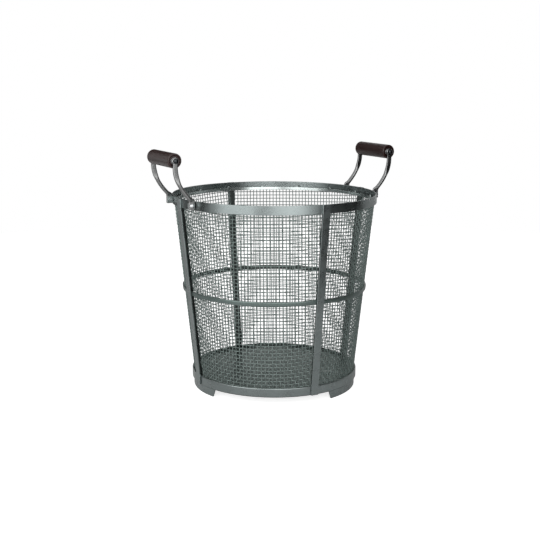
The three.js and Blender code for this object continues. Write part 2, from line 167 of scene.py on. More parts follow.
def put(name: str, data: bpy.types.ID) -> bpy.types.Object:
    """Puts a new object in the scene.

    Args:
        name: Name of the object.
        data: Its mesh, camera or lamp.

    Returns:
        The object.
    """
    made = bpy.data.objects.new(name, data)
    bpy.context.scene.collection.objects.link(made)
    return made


def settled(shape: bmesh.types.BMesh, name: str) -> bpy.types.Mesh:
    """Makes a mesh of an edited shape.

    Args:
        shape: The shape. It is used up.
        name: Name of the mesh.

    Returns:
        The mesh.
    """
    mesh = bpy.data.meshes.new(name)
    shape.to_mesh(mesh)
    shape.free()
    return mesh


def applied(holder: bpy.types.Object) -> bpy.types.Mesh:
    """Applies an object's modifiers.

    Args:
        holder: The object. It is used up.

    Returns:
        The mesh that the modifiers give.
    """
    result = holder.evaluated_get(bpy.context.evaluated_depsgraph_get())
    mesh = bpy.data.meshes.new_from_object(result)
    holder.modifiers.clear()
    bpy.data.objects.remove(holder)
    return mesh


def skin(
    name: str, rings: Sequence[Sequence[Vector]], looped: bool = False, sharp: float = SHARP_DEGREES,
) -> bpy.types.Mesh:
    """Makes a closed smooth mesh through rings of equal point counts.

    Args:
        name: Name of the mesh.
        rings: The rings, in order. A ring whose points coincide becomes a pole.
        looped: Whether the last ring joins the first. Otherwise both ends are closed.
        sharp: Degrees between two faces past which their edge is drawn sharp.

    Returns:
        The mesh, with its faces outwards.
    """
    shape = bmesh.new()
    rows = [[shape.verts.new(point) for point in ring] for ring in rings]
    sides = len(rows[0])
    pairs = list(zip(rows, rows[1:])) + ([(rows[-1], rows[0])] if looped else [])
    for low, high in pairs:
        for k in range(sides):
            after = (k + 1) % sides
            shape.faces.new((low[k], low[after], high[after], high[k]))
    if not looped:
        for row in (rows[0], rows[-1]):
            if (row[0].co - row[sides // 2].co).length > POLE_GAP:
                shape.faces.new(row)
    bmesh.ops.remove_doubles(shape, verts=shape.verts, dist=MERGE_GAP)
    bmesh.ops.recalc_face_normals(shape, faces=shape.faces)
    mesh = settled(shape, name)
    mesh.shade_smooth()
    mesh.set_sharp_from_angle(angle=math.radians(sharp))
    return mesh


def turned(name: str, outline: Sequence[Point], segments: int, looped: bool = True) -> bpy.types.Mesh:
    """Turns an outline of radius and height about Z.

    Args:
        name: Name of the mesh.
        outline: The outline. One that isn't looped starts and ends on the axis.
        segments: Facets round the axis.
        looped: Whether the outline closes on itself.

    Returns:
        The turned mesh.
    """
    turns = spaced(WHOLE_TURN, segments)[:-1]
    rings = [[Vector((r * math.cos(t), r * math.sin(t), z)) for t in turns] for r, z in outline]
    return skin(name, rings, looped)


def strip(
    name: str,
    place: Callable[[float, float, float], Vector],
    stops: Sequence[float],
    width: float,
    thickness: float,
    edge: float,
) -> bpy.types.Mesh:
    """Skins a flat bar with rounded edges and ends.

    Args:
        name: Name of the mesh.
        place: Gives a point from the distance along the bar, across its width and through it.
        stops: Distances along the bar where sections lie, from one end to the other.
        width: Width of the bar.
        thickness: Thickness of the bar.
        edge: Radius of its edges.

    Returns:
        The bar's mesh.
    """
    end_steps = 4
    flat_start, clear, least_edge = edge * 1.2, edge * 1.3, edge / 20
    first, last = stops[0], stops[-1]
    turns = spaced(QUARTER_TURN, end_steps)
    ends = [(edge * (1 - math.cos(t)), edge * (1 - math.sin(t))) for t in turns]
    ends.append((flat_start, 0.0))
    stations = [(first + along, inset) for along, inset in ends]
    stations += [(stop, 0.0) for stop in stops if first + clear < stop < last - clear]
    stations += [(last - along, inset) for along, inset in reversed(ends)]
    rings = []
    for along, inset in stations:
        outline = rectangle(width - 2 * inset, thickness - 2 * inset, max(edge - inset, least_edge))
        rings.append([place(along, across, through) for across, through in outline])
    return skin(name, rings)


def dome(radius: float, low: float, height: float, steps: int = 10) -> list[Point]:
    """Outline of a dome, from its edge to its crown on the axis."""
    turns = spaced(QUARTER_TURN, steps)
    return [(radius * max(math.cos(t), 0.0), low + height * math.sin(t)) for t in turns]


def drilled(mesh: bpy.types.Mesh, holes: Sequence[tuple[Vector, float]]) -> bpy.types.Mesh:
    """Drills round holes through a mesh, along Y.

    Args:
        mesh: The closed mesh to drill. It is used up.
        holes: A point on the axis and the diameter of each hole.

    Returns:
        The drilled mesh.
    """
    reach, segments = 8 * MM, 32
    turn = ALONG_Y.to_track_quat("Z", "Y").to_matrix().to_4x4()
    cutter = bmesh.new()
    for point, diameter in holes:
        bmesh.ops.create_cone(
            cutter, cap_ends=True, segments=segments, radius1=diameter / 2, radius2=diameter / 2,
            depth=2 * reach, matrix=Matrix.Translation(point) @ turn,
        )
    tool, blank = put("drill", settled(cutter, "drill")), put("blank", mesh)
    cut = blank.modifiers.new("holes", "BOOLEAN")
    cut.operation, cut.solver, cut.object = "DIFFERENCE", "EXACT", tool
    made = applied(blank)
    bpy.data.objects.remove(tool)
    made.set_sharp_from_angle(angle=math.radians(SHARP_DEGREES))
    return made


def moved(mesh: bpy.types.Mesh, matrix: Matrix) -> bpy.types.Mesh:
    """A copy of a mesh, turned and moved."""
    copy = mesh.copy()
    copy.transform(matrix)
    return copy


def about_z(angle: float) -> Matrix:
    """A turn about the bin's axis."""
    return Matrix.Rotation(angle, 4, "Z")


# Nodes


class Number:
    """A number that nodes work out, so that a formula reads as one."""

    def __init__(self, nodes: "Nodes", socket: bpy.types.NodeSocket) -> None:
        """Keeps the tree and the socket that gives the number."""
        self.nodes = nodes
        self.socket = socket

    def __add__(self, other: "Number | float") -> "Number":
        """Sum."""
        return self.nodes.math("ADD", self, other)

    def __sub__(self, other: "Number | float") -> "Number":
        """Difference."""
        return self.nodes.math("SUBTRACT", self, other)

    def __mul__(self, other: "Number | float") -> "Number":
        """Product."""
        return self.nodes.math("MULTIPLY", self, other)

    def __truediv__(self, other: "Number | float") -> "Number":
        """Quotient."""
        return self.nodes.math("DIVIDE", self, other)

    def __gt__(self, other: "Number | float") -> "Number":
        """1 where this is the larger, and otherwise 0."""
        return self.nodes.math("GREATER_THAN", self, other)

    def sin(self) -> "Number":
        """Sine."""
        return self.nodes.math("SINE", self)

    def cos(self) -> "Number":
        """Cosine."""
        return self.nodes.math("COSINE", self)

    def size(self) -> "Number":
        """The number without its sign."""
        return self.nodes.math("ABSOLUTE", self)

    def up(self) -> "Number":
        """The next whole number up."""
        return self.nodes.math("CEIL", self)

    def down(self) -> "Number":
        """The next whole number down."""
        return self.nodes.math("FLOOR", self)


class Nodes:
    """A tree of nodes, with short ways to add, set and join them."""

    def __init__(self, tree: bpy.types.NodeTree) -> None:
        """Keeps the tree."""
        self.tree = tree

    def feed(self, socket: bpy.types.NodeSocket, value: object) -> None:
        """Joins a socket to a number or another socket, or sets its value.

        Args:
            socket: The input.
            value: What it is given.
        """
        if isinstance(value, Number):
            value = value.socket
        if isinstance(value, bpy.types.NodeSocket):
            self.tree.links.new(value, socket)
        else:
            socket.default_value = value

    def node(self, kind: str, inputs: dict[str, object], **settings: object) -> bpy.types.Node:
        """Adds a node.

        Args:
            kind: The node's type.
            inputs: Values, numbers or sockets for its inputs.
            **settings: The node's own settings.

        Returns:
            The new node.
        """
        node = self.tree.nodes.new(kind)
        for label, value in settings.items():
            setattr(node, label, value)
        for label, value in inputs.items():
            self.feed(node.inputs[label], value)
        return node

    def add(self, kind: str, inputs: dict[str, object], **settings: object) -> bpy.types.NodeSocket:
        """Adds a node, and gives its first output."""
        return self.node(kind, inputs, **settings).outputs[0]

    def math(self, operation: str, *values: "Number | float") -> Number:
        """Adds one step of arithmetic.

        Args:
            operation: What is done.
            *values: The numbers that it is done to.

        Returns:
            The result.
        """
        node = self.node("ShaderNodeMath", {}, operation=operation)
        for socket, value in zip(node.inputs, values):
            self.feed(socket, value)
        return Number(self, node.outputs[0])


# Finishes


class Surface(Nodes):
    """The nodes of one material, round its Principled shader."""

    def __init__(self, name: str) -> None:
        """Makes an empty material."""
        self.material = bpy.data.materials.new(name)
        self.material.use_nodes = True
        super().__init__(self.material.node_tree)
        self.shader = self.tree.nodes["Principled BSDF"]

    def set(self, **values: object) -> None:
        """Sets the shader's inputs, with _ for a space in a name."""
        for label, value in values.items():
            self.feed(self.shader.inputs[label.replace("_", " ")], value)

    def noise(self, scale: float, detail: float = 3.0, stretch: Point | None = None) -> bpy.types.NodeSocket:
        """Noise over the piece.

        Args:
            scale: Waves in a metre.
            detail: Octaves of finer noise.
            stretch: Shares of the scale along Y and Z, where the noise is drawn out.

        Returns:
            The noise, from 0 to 1.
        """
        place = self.node("ShaderNodeTexCoord", {}).outputs["Object"]
        if stretch:
            place = self.add("ShaderNodeMapping", {"Vector": place, "Scale": (1.0, *stretch)})
        return self.add("ShaderNodeTexNoise", {"Vector": place, "Scale": scale, "Detail": detail})

    def ramp(
        self, share: bpy.types.NodeSocket, stops: Sequence[float], colours: Sequence[Colour],
    ) -> bpy.types.NodeSocket:
        """Adds a ramp of colours.

        Args:
            share: The share, from 0 to 1, that picks a colour.
            stops: Where on it the colours lie.
            colours: The colours.

        Returns:
            The colour.
        """
        node = self.node("ShaderNodeValToRGB", {"Fac": share})
        bar = node.color_ramp.elements
        while len(bar) < len(stops):
            bar.new(0.5)
        for element, position, colour in zip(bar, stops, colours):
            element.position = position
            element.color = colour
        return node.outputs["Color"]

    def between(
        self, share: bpy.types.NodeSocket, low: float, high: float, limits: Point = (0.3, 0.7),
    ) -> bpy.types.NodeSocket:
        """A number from low to high, as a share runs between its limits."""
        ends = {"Value": share, "From Min": limits[0], "From Max": limits[1], "To Min": low, "To Max": high}
        return self.add("ShaderNodeMapRange", ends)

    def mix(self, kind: str, share: object, first: object, second: object) -> bpy.types.NodeSocket:
        """Mixes two colours.

        Args:
            kind: The way of mixing.
            share: How far the second counts.
            first: The first colour.
            second: The second colour.

        Returns:
            The mixed colour.
        """
        node = self.node("ShaderNodeMix", {}, data_type="RGBA", blend_type=kind)
        for socket, value in ((node.inputs[0], share), (node.inputs[6], first), (node.inputs[7], second)):
            self.feed(socket, value)
        return node.outputs[2]

    def bump(self, height: bpy.types.NodeSocket, depth: float, strength: float) -> None:
        """Roughens the shader's surface by a height from 0 to 1."""
        relief = {"Height": height, "Distance": depth, "Strength": strength}
        self.set(Normal=self.add("ShaderNodeBump", relief))


@dataclass(frozen=True)
class Finish:
    """A finish that becomes one material, shared by its pieces."""

    name: str
    slot: Slot
    dark: Colour
    light: Colour
    roughness: float

    def material(self) -> bpy.types.Material:
        """The finish's material, made when it is first asked for."""
        known = bpy.data.materials.get(self.name)
        if known:
            return known
        surface = Surface(self.name)
        self.dress(surface)
        return surface.material

    def dress(self, surface: Surface) -> None:
        """Adds the finish's own nodes to a surface."""
        raise NotImplementedError

    def vary(self, surface: Surface, share: bpy.types.NodeSocket, uneven: Point) -> None:
        """Lets the roughness run along a share, from a little smoother to a little rougher."""
        smoother, rougher = uneven
        surface.set(Roughness=surface.between(share, self.roughness - smoother, self.roughness + rougher))


@dataclass(frozen=True)
class MetallicPaint(Finish):
    """Satin paint with a fine metal flake and, where it has an edge highlight, a painted highlight on its
    edges.
    """

    metal: float = 0.9
    # share of a lighter tone on sharp edges: a painted highlight
    edge_highlight: float = 0.0
    cloud_scale: float = 16.0
    cloud_stops: Point = (0.3, 0.7)
    flake_scale: float = 2600.0
    flake_stops: Point = (0.3, 0.72)
    flake_tone: Colour = (0.72, 0.74, 0.73, 1)
    flake_share: float = 0.8
    edge_highlight_limits: Point = (0.51, 0.58)
    edge_highlight_tone: Colour = (0.55, 0.6, 0.58, 1)
    coat: float = 0.12
    coat_roughness: float = 0.3
    gloss_scale: float = 48.0
    uneven: Point = (0.05, 0.06)
    peel_scale: float = 620.0
    peel_depth: float = 0.12 * MM
    peel_strength: float = 0.16

    def dress(self, surface: Surface) -> None:
        """Adds cloudy colour, flake, a painted highlight on sharp edges and a slight orange peel."""
        cloud = surface.ramp(surface.noise(self.cloud_scale), self.cloud_stops, (self.dark, self.light))
        flake = surface.ramp(surface.noise(self.flake_scale, 1.0), self.flake_stops, (self.flake_tone, WHITE))
        colour = surface.mix("MULTIPLY", self.flake_share, cloud, flake)
        # painted highlight: a lighter tone mixed in where the surface bends sharply, so that edges look lit
        if self.edge_highlight:
            bend = surface.node("ShaderNodeNewGeometry", {}).outputs["Pointiness"]
            edge = surface.between(bend, 0.0, self.edge_highlight, self.edge_highlight_limits)
            colour = surface.mix("MIX", edge, colour, self.edge_highlight_tone)
        surface.set(Base_Color=colour, Metallic=self.metal)
        surface.set(Coat_Weight=self.coat, Coat_Roughness=self.coat_roughness)
        self.vary(surface, surface.noise(self.gloss_scale), self.uneven)
        surface.bump(surface.noise(self.peel_scale, 2.0), self.peel_depth, self.peel_strength)


@dataclass(frozen=True)
class DrawnSteel(Finish):
    """Satin steel, drawn through a die, with faint streaks up its length."""

    streak_scale: float = 900.0
    streak_stretch: Point = (1.0, 0.05)
    cloud_scale: float = 70.0
    cloud_share: float = 0.45
    stops: Point = (0.32, 0.68)
    uneven: Point = (0.05, 0.1)
    mark_depth: float = 0.06 * MM
    mark_strength: float = 0.25

    def dress(self, surface: Surface) -> None:
        """Adds streaked colour, clouded roughness and shallow draw marks."""
        streak = surface.noise(self.streak_scale, 3.0, self.streak_stretch)
        cloud = surface.noise(self.cloud_scale, 4.0)
        share = surface.mix("MIX", self.cloud_share, streak, cloud)
        surface.set(Base_Color=surface.ramp(share, self.stops, (self.dark, self.light)), Metallic=1.0)
        self.vary(surface, cloud, self.uneven)
        surface.bump(streak, self.mark_depth, self.mark_strength)


@dataclass(frozen=True)
class LacqueredWood(Finish):
    """Dark stained wood, turned and lacquered, with its grain along the grip."""

    grain_scale: float = 420.0
    grain_stretch: Point = (0.035, 1.0)
    figure_scale: float = 60.0
    figure_stretch: Point = (0.12, 1.0)
    figure_share: float = 0.4
    stops: tuple[float, float, float] = (0.34, 0.52, 0.68)
    lacquer: float = 0.08
    lacquer_roughness: float = 0.16
    sheen: float = 0.36
    uneven: Point = (0.03, 0.05)
    pore_depth: float = 0.04 * MM
    pore_strength: float = 0.06

    def dress(self, surface: Surface) -> None:
        """Adds long grain, pores and a lacquer coat."""
        grain = surface.noise(self.grain_scale, 5.0, self.grain_stretch)
        figure = surface.noise(self.figure_scale, 3.0, self.figure_stretch)
        share = surface.mix("MIX", self.figure_share, grain, figure)
        surface.set(Base_Color=surface.ramp(share, self.stops, (self.dark, self.light, self.dark)))
        surface.set(Coat_Weight=self.lacquer, Coat_Roughness=self.lacquer_roughness)
        surface.set(Specular_IOR_Level=self.sheen)
        self.vary(surface, grain, self.uneven)
        surface.bump(grain, self.pore_depth, self.pore_strength)


@dataclass(frozen=True)
class PlatedMetal(Finish):
    """Plated steel with faint clouds and fine tool marks."""

    cloud_scale: float = 240.0
    stops: Point = (0.35, 0.65)
    uneven: Point = (0.06, 0.08)
    mark_scale: float = 1500.0
    mark_depth: float = 0.03 * MM
    mark_strength: float = 0.2

    def dress(self, surface: Surface) -> None:
        """Adds clouded colour and uneven gloss."""
        cloud = surface.noise(self.cloud_scale, 4.0)
        surface.set(Base_Color=surface.ramp(cloud, self.stops, (self.dark, self.light)), Metallic=1.0)
        self.vary(surface, cloud, self.uneven)
        surface.bump(surface.noise(self.mark_scale, 2.0), self.mark_depth, self.mark_strength)


FRAME_PAINT = MetallicPaint(
    "grey_green_frame_paint", Slot.FRAME, (0.233, 0.262, 0.261, 1), (0.281, 0.315, 0.314, 1), 0.28,
    metal=0.97, edge_highlight=0.35,
)
SATIN_PAINT = MetallicPaint(
    "grey_green_satin_paint", Slot.FRAME, (0.139, 0.175, 0.167, 1), (0.174, 0.22, 0.209, 1), 0.34,
    edge_highlight=0.35,
)
FLOOR_PAINT = MetallicPaint(
    "grey_green_floor_paint", Slot.FRAME, (0.174, 0.219, 0.207, 1), (0.218, 0.275, 0.258, 1), 0.34,
    edge_highlight=0.35,
)
# painted shade: a darker copy of the frame paint for the bars that stand back behind the stays
BAR_SHADE_PAINT = MetallicPaint(
    "grey_green_bar_shade_paint", Slot.FRAME, (0.075, 0.086, 0.083, 1), (0.1, 0.114, 0.11, 1), 0.34,
)
# painted shade: a darker copy of the frame paint, for faces that stand in shade
SHADED_PAINT = MetallicPaint(
    "grey_green_shaded_paint", Slot.FRAME, (0.03, 0.035, 0.034, 1), (0.046, 0.053, 0.051, 1), 0.3,
)
# painted highlight: paler than the frame paint, for the light that the clamp hoop and its ears catch
HIGHLIT_CLAMP_PAINT = MetallicPaint(
    "highlit_clamp_paint", Slot.FRAME, (0.4, 0.435, 0.43, 1), (0.48, 0.52, 0.515, 1), 0.24, metal=0.95,
)
WIRE_PAINT = MetallicPaint(
    "grey_green_wire_paint", Slot.WIRE, (0.173, 0.212, 0.202, 1), (0.221, 0.271, 0.258, 1), 0.42, metal=0.6,
)
ARM_STEEL = DrawnSteel(
    "satin_arm_steel", Slot.ARM, (0.165, 0.168, 0.167, 1), (0.225, 0.228, 0.227, 1), 0.27,
)
GRIP_WOOD = LacqueredWood(
    "dark_lacquered_wood", Slot.WOOD, (0.012, 0.0038, 0.0034, 1), (0.021, 0.0075, 0.0064, 1), 0.33,
)
DARK_PLATE = PlatedMetal(
    "black_plated_steel", Slot.DARK, (0.02, 0.022, 0.024, 1), (0.05, 0.054, 0.057, 1), 0.24,
)
BRIGHT_ZINC = PlatedMetal(
    "bright_zinc_steel", Slot.BRIGHT, (0.36, 0.375, 0.38, 1), (0.48, 0.495, 0.5, 1), 0.28,
)


def add_piece(
    name: str, mesh: bpy.types.Mesh, finish: Finish, nodes: Sequence[str], body: Body = Body.BASKET,
) -> bpy.types.Object:
    """Puts a finished mesh in the scene in place of its solids.

    Args:
        name: Name of the piece.
        mesh: Its mesh, in its place in the bin.
        finish: Its finish.
        nodes: The solids that it stands for.
        body: The body that it moves with.

    Returns:
        The piece.
    """
    mesh.materials.clear()
    mesh.materials.append(finish.material())
    piece = put(name, mesh)
    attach(piece, body.value)
    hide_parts(*nodes)
    LOG.info("%s: %d faces, for %s", name, len(mesh.polygons), ", ".join(nodes))
    return piece


def outward(face: bpy.types.MeshPolygon) -> float:
    """How far a face looks away from the bin's axis: 1 for outwards and -1 for inwards."""
    return face.normal.xy.dot(face.center.xy.normalized())


def repaint(
    piece: bpy.types.Object, finish: Finish, is_chosen: Callable[[bpy.types.MeshPolygon], bool],
) -> None:
    """Gives some of a piece's faces another finish.

    Args:
        piece: The piece.
        finish: Their finish.
        is_chosen: Tells whether a face takes it.
    """
    piece.data.materials.append(finish.material())
    for face in piece.data.polygons:
        if is_chosen(face):
            face.material_index = len(piece.data.materials) - 1


# Geometry Nodes


class NodeShape(Nodes):
    """A Geometry Nodes tree with named inputs, whose result is turned into a plain mesh."""

    def __init__(self, name: str, inputs: Sequence[str]) -> None:
        """Makes the tree.

        Args:
            name: Name of the tree.
            inputs: Names of its sizes.
        """
        super().__init__(bpy.data.node_groups.new(name, "GeometryNodeTree"))
        self.tree.is_modifier = True
        face = self.tree.interface
        face.new_socket("Geometry", in_out="INPUT", socket_type="NodeSocketGeometry")
        self.keys = {
            label: face.new_socket(label, in_out="INPUT", socket_type="NodeSocketFloat").identifier
            for label in inputs
        }
        finish = face.new_socket("Material", in_out="INPUT", socket_type="NodeSocketMaterial")
        self.keys["Material"] = finish.identifier
        face.new_socket("Geometry", in_out="OUTPUT", socket_type="NodeSocketGeometry")
        self.inputs = self.tree.nodes.new("NodeGroupInput")

    def given(self, label: str) -> Number:
        """One of the tree's sizes."""
        return Number(self, self.inputs.outputs[label])

    def vector(self, x: "Number | float", y: "Number | float", z: "Number | float") -> bpy.types.NodeSocket:
        """A vector from three numbers."""
        return self.add("ShaderNodeCombineXYZ", {"X": x, "Y": y, "Z": z})

    def finish(self, *parts: bpy.types.NodeSocket) -> None:
        """Ends the tree: joins the parts, makes them real and gives them the material.

        Args:
            *parts: The geometry of each part.
        """
        join = self.tree.nodes.new("GeometryNodeJoinGeometry")
        for part in parts:
            self.tree.links.new(part, join.inputs[0])
        real = self.add("GeometryNodeRealizeInstances", {"Geometry": join.outputs[0]})
        dressed = {"Geometry": real, "Material": self.inputs.outputs["Material"]}
        last = self.add("GeometryNodeSetMaterial", dressed)
        end = self.tree.nodes.new("NodeGroupOutput")
        self.tree.links.new(last, end.inputs[0])

    def mesh(
        self, name: str, start: bpy.types.Mesh, finish: Finish, sizes: dict[str, float],
    ) -> bpy.types.Mesh:
        """Runs the tree.

        Args:
            name: Name of the result.
            start: The mesh that the tree is given.
            finish: Finish of the result.
            sizes: A value for each named input.

        Returns:
            The result as a plain mesh.
        """
        holder = put(name, start)
        modifier = holder.modifiers.new(name, "NODES")
        modifier.node_group = self.tree
        modifier[self.keys["Material"]] = finish.material()
        for label, value in sizes.items():
            modifier[self.keys[label]] = float(value)
        made = applied(holder)
        made.name = name
        return made


def two_sided_row() -> NodeShape:
    """A tree that sets copies of one shape round the bin's axis, the same on both sides.

    Returns:
        The tree. Its inputs are the copies on one side, the angle of the first, the angle from one copy to
        the next, and how far from the axis each side's copies turn about.
    """
    nudge = 0.001  # keeps a whole quotient from falling to the number below
    shape = NodeShape("two_sided_row", ["Per side", "Start", "Step", "Offset"])
    per_side = shape.given("Per side")
    index = Number(shape, shape.add("GeometryNodeInputIndex", {}))
    side = (index / per_side + nudge).down()
    turn = side * HALF_TURN + shape.given("Start") + (index - side * per_side) * shape.given("Step")
    place = shape.vector(shape.given("Offset") * (side * HALF_TURN).cos(), 0.0, 0.0)
    points = shape.add("GeometryNodePoints", {"Count": per_side * 2.0, "Position": place})
    copy, turned_by = shape.inputs.outputs["Geometry"], shape.vector(0.0, 0.0, turn)
    copies = {"Points": points, "Instance": copy, "Rotation": turned_by}
    shape.finish(shape.add("GeometryNodeInstanceOnPoints", copies))
    return shape


# Sub-assemblies


@dataclass
class Cone:
    """The tapering surface that the cloth lies on, between the two bands."""

    low_radius: float = field(init=False)
    low_height: float = field(init=False)
    slope: float = field(init=False)

    def __post_init__(self) -> None:
        """Takes the cone from the floor disc, the bottom band and the cloth's top edge."""
        self.low_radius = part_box("base_plate")[1].x
        self.low_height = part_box("bottom_band")[1].z
        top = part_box("cloth_panel_1")[1]
        self.slope = (top.x - self.low_radius) / (top.z - self.low_height)

    def radius(self, height: float) -> float:
        """Outside of the cloth at a height."""
        return self.low_radius + (height - self.low_height) * self.slope


@dataclass
class Hoops:
    """The two bands, the half-oval ring round the middle and the floor disc."""

    cone: Cone
    band_thickness: float = 3 * MM
    rim_edge: float = 0.7 * MM
    base_edge: float = 1.3 * MM
    disc_edge: float = 0.6 * MM
    ring_power: float = 6.0
    ring_steps: int = 24
    # how far down a face of the base band looks before it takes painted shade
    underside_shade_slope: float = 0.15
    segments: int = 192

    def band(self, node: str, edge: float) -> bpy.types.Mesh:
        """Makes one flat band.

        Args:
            node: The band's solid.
            edge: Radius of its edges.

        Returns:
            The band.
        """
        low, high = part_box(node)
        corners = corners_of(high.x - self.band_thickness, high.x, low.z, high.z)
        return turned(node, rounded_outline(corners, edge), self.segments)

    def mid_ring(self) -> bpy.types.Mesh:
        """The half-oval ring, with its flat back on the cloth."""
        low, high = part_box("mid_ring")
        middle, half = (low.z + high.z) / 2, (high.z - low.z) / 2
        crown = high.x - self.cone.radius(middle) - SEAT
        outline = []
        for turn in spaced(HALF_TURN, self.ring_steps):
            rise, out = squared_oval(turn, self.ring_power)
            height = middle - half * rise
            outline.append((self.cone.radius(height) + SEAT + crown * abs(out), height))
        return turned("mid_ring", outline, self.segments)

    def floor_disc(self) -> bpy.types.Mesh:
        """The solid floor."""
        low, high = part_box("base_plate")
        outline = rounded_outline(corners_of(0.0, high.x, low.z, high.z), self.disc_edge, closed=False)
        return turned("floor", outline, self.segments, looped=False)

    def build(self) -> None:
        """Makes and dresses the hoops and the floor."""
        add_piece("rim_band", self.band("top_band", self.rim_edge), FRAME_PAINT, ["top_band"])
        base = add_piece("base_band", self.band("bottom_band", self.base_edge), FRAME_PAINT, ["bottom_band"])
        ring = add_piece("middle_ring", self.mid_ring(), SATIN_PAINT, ["mid_ring"])
        # painted shade: the inward faces of the ring and the base band, and the base band's underside over
        # the feet, take the shaded paint
        repaint(ring, SHADED_PAINT, lambda face: outward(face) < -FACING)
        repaint(base, SHADED_PAINT, lambda face: outward(face) < -FACING or face.normal.z < -self.underside_shade_slope)
        add_piece("floor_disc", self.floor_disc(), FLOOR_PAINT, ["base_plate"])


@dataclass
class ClampHoop:
    """The thin hoop inside the rim that holds the cloth's top edge, with a row of small ears."""

    cone: Cone
    row: NodeShape
    cloth_thickness: float = 3.2 * MM
    height: float = 6.5 * MM
    edge: float = 0.4 * MM
    ear_width: float = 8 * MM
    ear_thickness: float = 1.6 * MM
    ear_root: float = 1 * MM
    ear_steps: int = 2
    ears_per_side: int = 8
    ear_start: float = math.radians(2.8)
    segments: int = 192

    def hoop(self) -> bpy.types.Mesh:
        """The hoop, leaning with the cloth."""
        low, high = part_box("clamp_hoop")
        top = low.z + self.height
        inner = high.x - self.ear_thickness
        lean = self.cone.slope * self.height
        outer = self.cone.radius(top) - self.cloth_thickness - SEAT
        corners = [(inner - lean, low.z), (outer - lean, low.z), (outer, top), (inner, top)]
        return turned("clamp_hoop", rounded_outline(corners, self.edge), self.segments)

    def ear(self) -> bpy.types.Mesh:
        """One ear, where it stands at +X."""
        low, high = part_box("clamp_hoop")
        top = low.z + self.height
        half = self.ear_width / 2
        root, tip = top - self.ear_root, high.z
        corners = [(-half, root), (half, root), (half, top), (0.0, tip), (-half, top)]
        depth = self.ear_thickness / 2
        middle = high.x - depth
        centre = (top + root) / 2
        outline = rounded_outline(corners, self.edge, steps=self.ear_steps, support=0)
        flat = depth - self.edge
        rings = []
        for inset, through in ((self.edge, -depth), (0.0, -flat), (0.0, flat), (self.edge, depth)):
            shrink = 1 - inset / half
            x = middle + through
            rings.append([Vector((x, y * shrink, centre + (z - centre) * shrink)) for y, z in outline])
        return skin("ear", rings)

    def build(self) -> None:
        """Makes and dresses the hoop and its ears."""
        sizes = {
            "Per side": self.ears_per_side, "Start": self.ear_start,
            "Step": HALF_TURN / self.ears_per_side, "Offset": 0.0,
        }
        # painted highlight: the hoop and its ears take the paler paint
        ears = self.row.mesh("clamp_ears", self.ear(), HIGHLIT_CLAMP_PAINT, sizes)
        add_piece("cloth_clamp", self.hoop(), HIGHLIT_CLAMP_PAINT, ["clamp_hoop"])
        add_piece("clamp_ears", ears, HIGHLIT_CLAMP_PAINT, ["clamp_hoop"])


